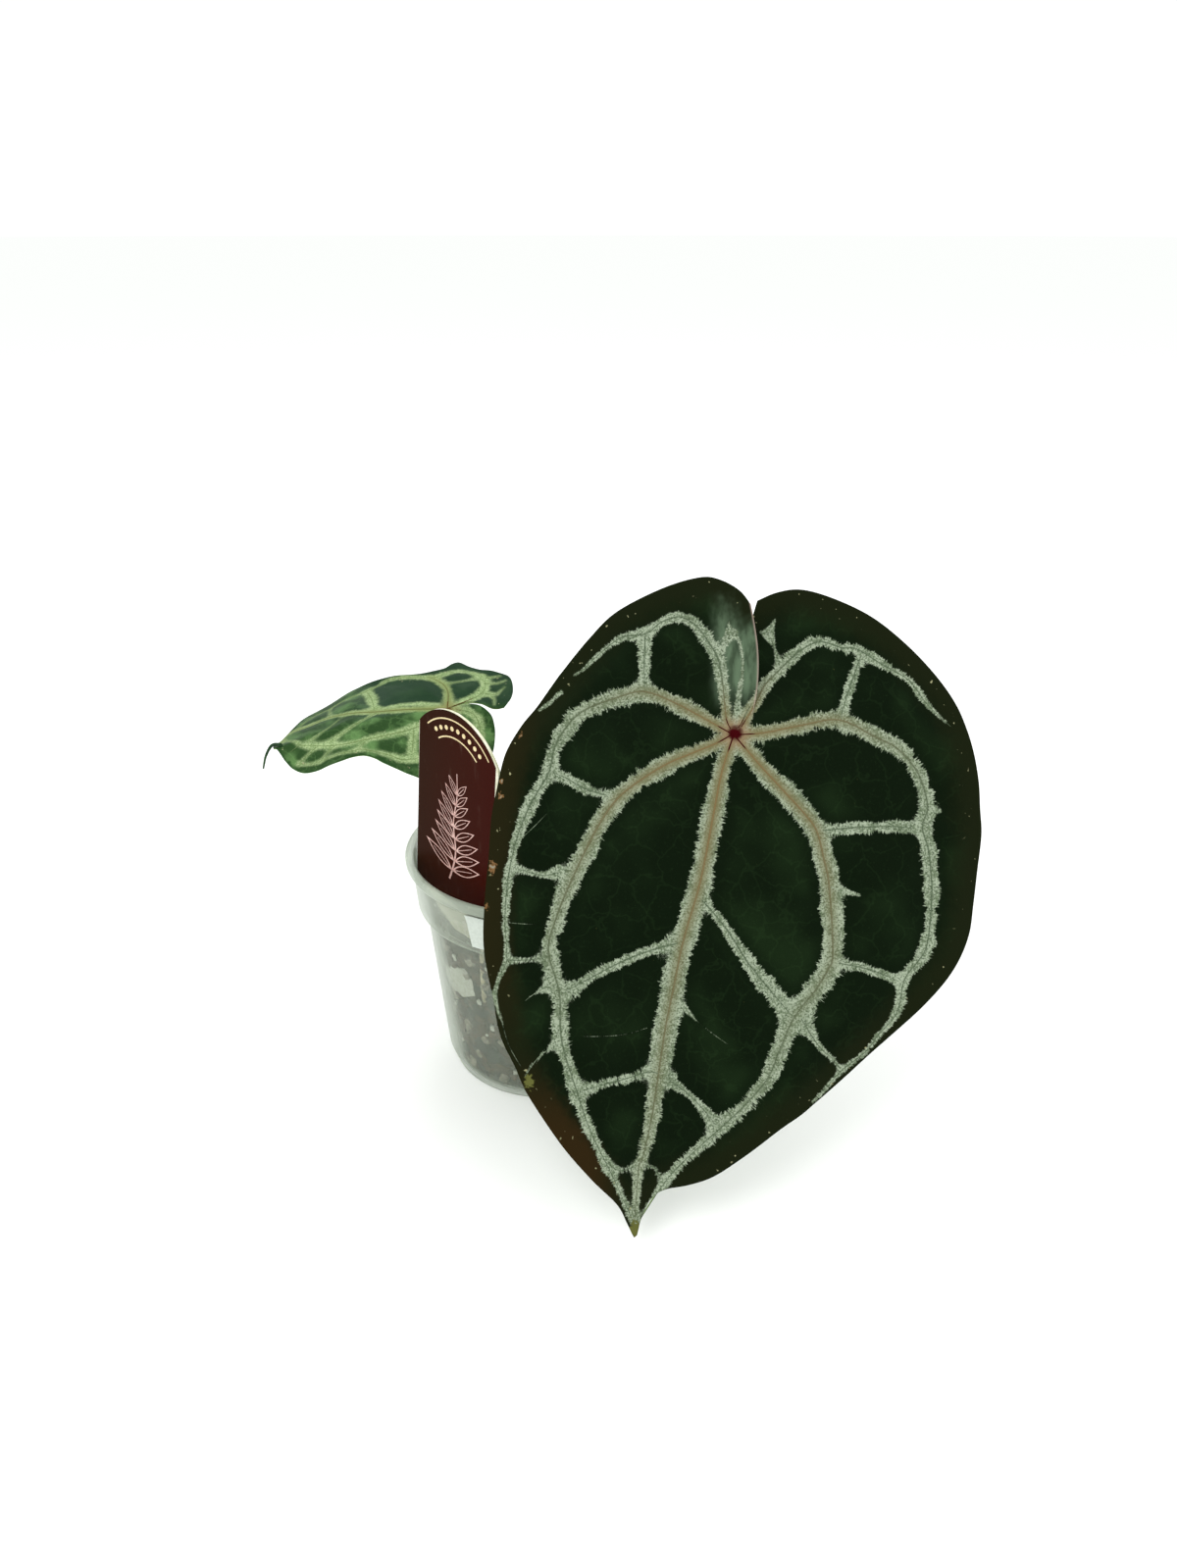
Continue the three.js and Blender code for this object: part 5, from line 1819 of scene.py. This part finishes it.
@dataclass
class BandSticker:
    """The bare paper sticker on the upper band, from its left edge round towards the front."""

    length: float = 30.0
    left_angle: float = -121.0
    foot: float = 70.4
    top: float = 83.2
    thickness: float = 0.18
    lean: float = 1.6
    lift: float = 0.5
    lift_reach: float = 4.0
    grid: tuple[int, int] = (60, 16)

    def build(self) -> None:
        """Models the sticker as a grid laid on the band, with a slightly lifted corner."""
        across, levels = self.grid
        deselect()
        bpy.ops.mesh.primitive_grid_add(x_subdivisions=across, y_subdivisions=levels, size=2.0)
        made = bpy.context.view_layer.objects.active
        made.name = "band_sticker"
        for vertex in made.data.vertices:
            share = (vertex.co.x + 1) / 2
            rise = (vertex.co.y + 1) / 2
            height = self.foot + (self.top - self.foot) * rise
            band = np.interp(
                height, (LEDGE_HEIGHT, POT_HEIGHT - POT_RIM_DEPTH), (BAND_FOOT_RADIUS, BAND_TOP_RADIUS))
            shift = self.lean * (1 - rise) * (1 - share)
            turn = math.radians(self.left_angle) + (share * self.length + shift) / BAND_TOP_RADIUS
            from_corner = math.hypot(share * self.length, (1 - rise) * 12)
            curl = self.lift * max(0.0, 1 - from_corner / self.lift_reach) ** 2
            vertex.co = Vector(polar(float(band) + SEAT_GAP + curl, turn, height)) * MM
        pick(made)
        bpy.ops.object.mode_set(mode="EDIT")
        bpy.ops.mesh.select_all(action="SELECT")
        bpy.ops.mesh.normals_make_consistent(inside=False)
        bpy.ops.object.mode_set(mode="OBJECT")
        face = made.data.polygons[0]
        if face.normal.dot(Vector((face.center.x, face.center.y, 0))) < 0:
            made.data.flip_normals()
        thicken(made, self.thickness)
        dress(made, STICKER, "sticker_paper", "pot_sticker", angle=40)


@dataclass
class Studio:
    """The pale floor, the soft lights and the camera of the reference view."""

    floor_radius: float = 30.0
    aim: Triple = (0.02, 0.0, 0.1)
    lights: tuple[tuple[str, Triple, float, float], ...] = (
        ("key", (-0.5, -0.9, 1.5), 0.9, 12.0),
        ("fill", (1.1, -0.7, 0.9), 1.2, 5.0),
        ("back", (0.2, 1.3, 1.2), 1.0, 4.0),
    )

    def camera(self) -> None:
        """Places the camera at the reference view."""
        lens = bpy.data.cameras.new("camera")
        lens.sensor_width = SENSOR_WIDTH
        lens.lens = SENSOR_WIDTH * VIEW_FOCAL / VIEW_FRAME[1]
        lens.clip_start = 0.01
        made = linked("camera", lens)
        made.location = VIEW_POINT * MM
        made.rotation_euler = (math.pi / 2 - VIEW_PITCH, 0, 0)
        bpy.context.scene.camera = made

    def light(self, name: str, place: Triple, size: float, power: float) -> None:
        """Adds a large soft light that faces the plant.

        Args:
            name: the object's name.
            place: where it stands, in metres.
            size: its diameter, in metres.
            power: its power, in watts.
        """
        lamp = bpy.data.lights.new(name, "AREA")
        lamp.shape = "DISK"
        lamp.size = size
        lamp.energy = power
        made = linked(name, lamp)
        made.location = place
        made.rotation_euler = (Vector(self.aim) - Vector(place)).to_track_quat("-Z", "Y").to_euler()

    def build(self) -> None:
        """Builds the floor, the surroundings and the lights."""
        deselect()
        bpy.ops.mesh.primitive_circle_add(vertices=96, radius=self.floor_radius, fill_type="NGON")
        floor = bpy.context.view_layer.objects.active
        floor.name = "floor"
        f = Finish("floor")
        f.plain(Base_Color=linear("f7f8f7"), Roughness=0.95, Specular_IOR_Level=0.0)
        floor.data.materials.append(f.material)
        world = bpy.data.worlds.new("studio")
        bpy.context.scene.world = world
        world.use_nodes = True
        background = world.node_tree.nodes["Background"]
        background.inputs["Color"].default_value = linear("fcfdfc")
        background.inputs["Strength"].default_value = 1.08
        bpy.context.scene.view_settings.view_transform = "Standard"
        for light in self.lights:
            self.light(*light)


LARGE_HUB = (750, 748)
LARGE_OUTLINE = (
    (763, 621), (752, 607), (733, 596), (713, 593), (675, 603), (629, 625), (601, 651), (572, 686),
    (548, 720), (532, 741), (516, 769), (507, 802), (500, 834), (497, 874), (494, 915), (494, 965),
    (503, 1019), (509, 1055), (523, 1087), (536, 1116), (570, 1164), (602, 1200), (629, 1228),
    (640, 1250), (648, 1264), (654, 1246), (664, 1226), (679, 1216), (702, 1210), (727, 1200),
    (758, 1178), (794, 1151), (827, 1130), (864, 1100), (900, 1066), (938, 1027), (969, 990),
    (987, 956), (994, 924), (999, 888), (1002, 852), (999, 824), (996, 796), (989, 761), (978, 726),
    (961, 696), (938, 668), (911, 644), (882, 625), (842, 607), (815, 600), (792, 603), (773, 611),
)
LARGE_LEFT_SIDE = (LARGE_HUB, (758, 739), (767, 728), (771, 707), (771, 680), (768, 648), (763, 621))
LARGE_RIGHT_SIDE = (LARGE_HUB, (757, 741), (765, 730), (767, 712), (763, 690), (760, 660), (773, 611))
LARGE_VEINS = (
    Vein(((748, 750), (736, 788), (727, 834), (714, 900), (697, 959), (687, 1007), (678, 1052), (666, 1132),
          (657, 1175), (651, 1195), (647, 1250)), (4.5, 6.6, 7.0, 7.2, 7.4, 7.0, 4.8, 3.2, 1.4), 0.9,
         warm_reach=105.0),
    Vein(((746, 749), (730, 758), (703, 769), (676, 781), (641, 804), (623, 822), (605, 851), (582, 899),
          (566, 939), (559, 971), (570, 1014), (572, 1061), (587, 1111), (602, 1153), (625, 1200),
          (645, 1246)), (4.2, 6.0, 6.2, 5.8, 4.4, 3.9, 3.0, 1.4), 0.8, warm_reach=62.0),
    Vein(((746, 748), (712, 729), (685, 715), (657, 705), (632, 710), (591, 727), (567, 758), (559, 788),
          (539, 822), (525, 858), (517, 899), (515, 941), (517, 977), (510, 995), (504, 1014)),
         (3.6, 5.4, 5.6, 5.0, 3.8, 2.6, 2.0, 1.0), 0.7, warm_reach=34.0),
    Vein(((745, 743), (741, 734), (739, 717), (737, 700), (734, 683), (730, 670), (721, 656), (711, 642),
          (700, 634), (690, 631), (674, 636), (658, 647), (632, 651), (605, 672), (594, 683), (585, 688)),
         (2.2, 2.6, 3.4, 3.6, 2.8, 2.6, 2.2, 1.4, 0.6), 0.6, warm_reach=10.0),
    Vein(((658, 647), (657, 670), (657, 692), (658, 702)), (4.4, 2.7, 2.8, 4.4)),
    Vein(((734, 668), (738, 659), (741, 651), (742, 645), (742, 637)), (0.9, 0.7, 1.4, 1.8, 0.3), 0.9,
         pale=True),
    Vein(((741, 654), (745, 650), (749, 648)), (1.2, 1.4, 0.3), 0.8, pale=True),
    Vein(((746, 647), (751, 654), (754, 664), (756, 677), (756, 688), (755, 700), (753, 711), (752, 728),
          (751, 742)), (0.5, 0.6, 0.6, 0.9, 1.4, 1.6, 2.2), 0.9, pale=True),
    Vein(((753, 742), (756, 738), (761, 727), (767, 717)), (2.2, 2.4, 2.0), 0.4),
    Vein(((617, 811), (596, 804), (578, 794), (560, 786)), (3.6, 3.0, 3.4)),
    Vein(((569, 890), (555, 893), (541, 890), (523, 885)), (3.6, 1.4, 1.5, 2.2), 0.4),
    Vein(((519, 979), (539, 979), (558, 976)), (2.0, 1.4, 3.6), 0.4),
    Vein(((519, 941), (555, 943)), (0.7, 0.7), 0.4, True, pale=True),
    Vein(((559, 1007), (546, 1013), (535, 1021)), (2.6, 0.9, 0.1), 0.4, pale=True),
    Vein(((564, 1068), (548, 1080), (534, 1100)), (1.8, 0.6, 0.4), 0.4, pale=True),
    Vein(((504, 1018), (508, 1032), (512, 1046)), (0.7, 0.5), 0.5, pale=True),
    Vein(((511, 1042), (518, 1066), (530, 1089)), (0.9, 0.7), 0.4, True, pale=True),
    Vein(((571, 706), (560, 717), (550, 724)), (1.2, 0.6), 0.6, pale=True),
    Vein(((691, 962), (659, 971), (632, 982), (605, 996), (573, 1014)), (5.2, 2.8, 2.6, 2.8, 6.0), 0.6),
    Vein(((671, 1095), (659, 1094), (632, 1102), (612, 1107), (592, 1114)), (4.6, 2.9, 2.6, 2.7, 4.2), 0.5),
    Vein(((647, 1190), (630, 1193), (611, 1178)), (1.2, 0.9, 1.2), 0.3),
    Vein(((660, 1048), (632, 1055), (594, 1057)), (0.6, 0.5), 0.45, True, pale=True),
    Vein(((751, 752), (776, 781), (799, 806), (820, 829), (833, 847), (840, 874), (846, 904), (850, 972),
          (845, 990), (832, 1011), (810, 1039), (795, 1072), (783, 1099), (763, 1123), (742, 1144),
          (702, 1182), (681, 1205), (653, 1246)), (4.2, 6.4, 6.4, 6.2, 6.8, 5.6, 4.2, 3.2, 1.2), 0.8,
         warm_reach=72.0),
    Vein(((716, 918), (730, 934), (744, 952), (763, 982), (783, 1007), (810, 1039)),
         (3.8, 3.0, 3.6, 4.6, 8.0), 0.6),
    Vein(((683, 1103), (702, 1117), (718, 1133), (730, 1148)), (4.0, 2.0, 2.4, 5.2), 0.4),
    Vein(((657, 1191), (669, 1193), (672, 1203)), (1.1, 0.8), 0.3),
    Vein(((696, 1025), (704, 1035), (712, 1043)), (1.6, 0.6), 0.6, pale=True),
    Vein(((712, 1043), (728, 1055), (744, 1066)), (0.5, 0.4), 0.45, True, pale=True),
    Vein(((753, 749), (780, 747), (815, 740), (856, 734), (892, 751), (915, 763), (933, 783), (942, 802),
          (947, 824), (942, 844), (948, 865), (951, 892), (951, 919), (945, 963), (935, 981), (922, 999),
          (915, 1033), (897, 1057), (883, 1076), (861, 1093), (844, 1111), (830, 1125)),
         (3.6, 4.6, 5.2, 5.0, 4.6, 4.0, 3.0, 1.8, 1.0), 0.7, warm_reach=40.0),
    Vein(((840, 847), (874, 844), (910, 843), (933, 845)), (4.4, 3.2, 3.8), 0.6),
    Vein(((857, 983), (883, 988), (901, 994), (917, 1001)), (3.4, 2.4, 2.4), 0.5),
    Vein(((818, 1040), (836, 1068), (849, 1080), (859, 1092)), (8.0, 2.6, 1.5, 1.4), 0.4),
    Vein(((848, 905), (865, 910), (877, 913)), (2.4, 0.6), 0.6, pale=True),
    Vein(((947, 823), (954, 826), (961, 827)), (2.2, 0.6), 0.6, pale=True),
    Vein(((756, 741), (766, 725), (775, 709), (780, 699), (790, 688), (801, 677), (815, 664), (836, 654),
          (859, 660), (874, 661), (901, 677), (928, 693), (946, 718), (969, 741)),
         (2.2, 3.0, 3.4, 3.6, 3.2, 3.2, 2.4, 1.6, 0.4), 0.6, warm_reach=14.0),
    Vein(((879, 668), (865, 707), (858, 732)), (2.8, 2.6, 3.4), 0.5),
    Vein(((796, 680), (794, 671), (792, 664), (789, 653), (785, 645)), (2.0, 1.2, 0.8, 1.8), 0.8, pale=True),
    Vein(((785, 646), (788, 638), (791, 630)), (2.0, 1.2, 0.3), 0.7, pale=True),
    Vein(((785, 646), (781, 644), (777, 643)), (1.6, 0.8, 0.2), 0.5, pale=True),
    Vein(((533, 853), (545, 842), (557, 830)), (0.4, 0.5), 0.4, True),
)

SMALL_HUB = (458, 722)
SMALL_OUTLINE = (
    (514, 721), (521, 713), (523, 703), (519, 691), (504, 684), (490, 681), (478, 677), (468, 673),
    (460, 675), (452, 680), (434, 686), (418, 689), (399, 691), (384, 694), (366, 699), (352, 705),
    (336, 716), (315, 731), (301, 743), (287, 753), (277, 759), (287, 770), (292, 777), (298, 783),
    (307, 788), (315, 789), (325, 787), (336, 782), (348, 777), (359, 772), (371, 769), (382, 771),
    (390, 775), (404, 781), (418, 788), (440, 797), (462, 798), (482, 790), (497, 778), (503, 765),
    (505, 748), (504, 737), (501, 728), (494, 721),
)
SMALL_FAR_SIDE = (SMALL_HUB, (468, 716), (480, 714), (492, 717), (503, 721), (514, 721))
SMALL_NEAR_SIDE = (SMALL_HUB, (466, 718.5), (476, 716.5), (486, 717.5), (494, 721))
SMALL_VEINS = (
    Vein(((457, 722), (433, 722), (399, 723.5), (380, 725), (364, 726), (351, 728), (335, 732), (313, 741),
          (294, 748.5), (283, 757)), (3.4, 4.2, 3.8, 3.0, 2.2, 1.6), 0.8, warm_reach=60.0),
    Vein(((446, 717), (425, 717), (404, 718.5), (388, 722)), (1.4, 2.2, 2.0, 1.0), 0.0),
    Vein(((456, 724), (440, 733), (426, 740), (411, 745), (390, 750), (371, 754), (351, 758), (335, 759.5),
          (318, 758.5), (305, 757), (289, 753)), (3.0, 3.6, 3.4, 2.8, 2.2, 1.5, 0.8), 0.5),
    Vein(((422, 741), (421, 757), (420, 770)), (3.6, 3.4, 3.6), 0.4),
    Vein(((383, 726), (373, 731), (351, 745), (334, 757)), (1.2, 1.5, 2.0), 0.4),
    Vein(((345, 733), (330, 743), (315, 754)), (0.4, 0.8, 1.2), 0.3),
    Vein(((426, 772), (411, 772.5), (399, 768.5), (388, 766), (371, 764), (358, 766), (344, 769), (327, 776),
          (313, 779.5), (302, 777)), (3.0, 2.4, 1.2, 1.3, 0.9, 0.8, 0.7), 0.4),
    Vein(((372, 756), (364, 764)), (2.0, 1.6), 0.3),
    Vein(((323, 760), (313, 769), (304, 778)), (0.9, 0.6, 0.5), 0.3),
    Vein(((339, 761), (331, 770), (326, 777)), (0.8, 0.5, 0.5), 0.3),
    Vein(((305, 758), (294, 767)), (0.6, 0.5), 0.3, True),
    Vein(((303, 744), (322, 730), (335, 723), (347, 714), (364, 706.5), (373, 703), (392, 694.5),
          (404, 692.5), (424, 691), (441, 690), (450, 687), (458, 684), (467, 682), (481, 684), (490, 689)),
         (0.6, 0.8, 1.2, 2.0, 1.2, 1.6, 2.4, 2.8, 2.2, 2.8), 0.4),
    Vein(((336, 723), (337, 732)), (0.9, 1.2), 0.3),
    Vein(((372, 703), (378, 711), (382, 724)), (4.0, 3.4, 4.8), 0.4),
    Vein(((456, 721), (457, 707), (454, 699), (447, 693.5), (439, 690.5)), (3.0, 3.0, 3.0, 2.6), 0.7,
         warm_reach=34.0),
    Vein(((455, 696), (467, 694), (482, 691.5)), (1.2, 0.9, 1.2), 0.3),
    Vein(((457, 721), (467, 717), (484, 710.5), (492, 705), (495, 697), (490, 689)),
         (2.4, 3.0, 3.6, 3.2, 3.0), 0.4),
    Vein(((494, 691), (510, 689)), (1.2, 0.3), 0.3),
    Vein(((495, 696), (508, 697), (516, 694.5)), (1.3, 0.5), 0.3),
    Vein(((492, 706), (506, 708), (515, 701)), (1.8, 0.9, 0.4), 0.3),
    Vein(((500, 709), (504, 713), (504, 718)), (0.9, 0.4), 0.3),
    Vein(((465, 723), (481, 726), (488, 736), (491, 752)), (3.4, 4.0, 3.2), 0.4),
)


def build_leaves() -> None:
    """Builds both blades and their stalks."""
    large = LargeBlade(
        "large_velvet_blade", "large_leaf_blade", "velvet_leaf", VELVET, LARGE_HUB, LARGE_OUTLINE,
        LARGE_LEFT_SIDE, LARGE_RIGHT_SIDE, LARGE_VEINS, rays=380, steps=108, thickness=0.9, vein_depth=0.7)
    young = YoungBlade(
        "young_pale_blade", "small_leaf_blade", "young_leaf", YOUNG, SMALL_HUB, SMALL_OUTLINE,
        SMALL_FAR_SIDE, SMALL_NEAR_SIDE, SMALL_VEINS, rays=320, steps=44, thickness=0.8, vein_depth=0.5)
    large.build()
    young.build()
    large_route = ((2.6, -1.6, 90), (7, -4, 102), (21, -9, 124), (40, -19, 144), (54, -31, 153.5),
                   (60.6, -41.5, 155.2))
    young_route = ((-2.2, 1.2, 90), (-5.5, 4, 96), (-11, 8, 101.5), (-19, 14, 110), (-28, 20.5, 119))
    Stalk("large_stalk", "large_leaf_petiole", large_route, 2.3, 3.0, large).build()
    Stalk("young_stalk", "small_leaf_petiole", young_route, 1.5, 2.6, young).build()


def main() -> None:
    """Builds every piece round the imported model, in order."""
    logging.basicConfig(level=logging.INFO, format="%(name)s %(message)s")
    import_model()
    deselect()
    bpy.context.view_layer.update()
    studio = Studio()
    studio.camera()
    pot = Pot()
    builders: list[Callable[[], None]] = [
        pot.build, PottingMix(pot).build, CrownAndRoots().build, Sheaths().build, build_leaves,
        StakeLabel().build, BandSticker().build, studio.build,
    ]
    for build in builders:
        build()
    deselect()
    bpy.context.view_layer.update()


if __name__ == "__main__":
    main()
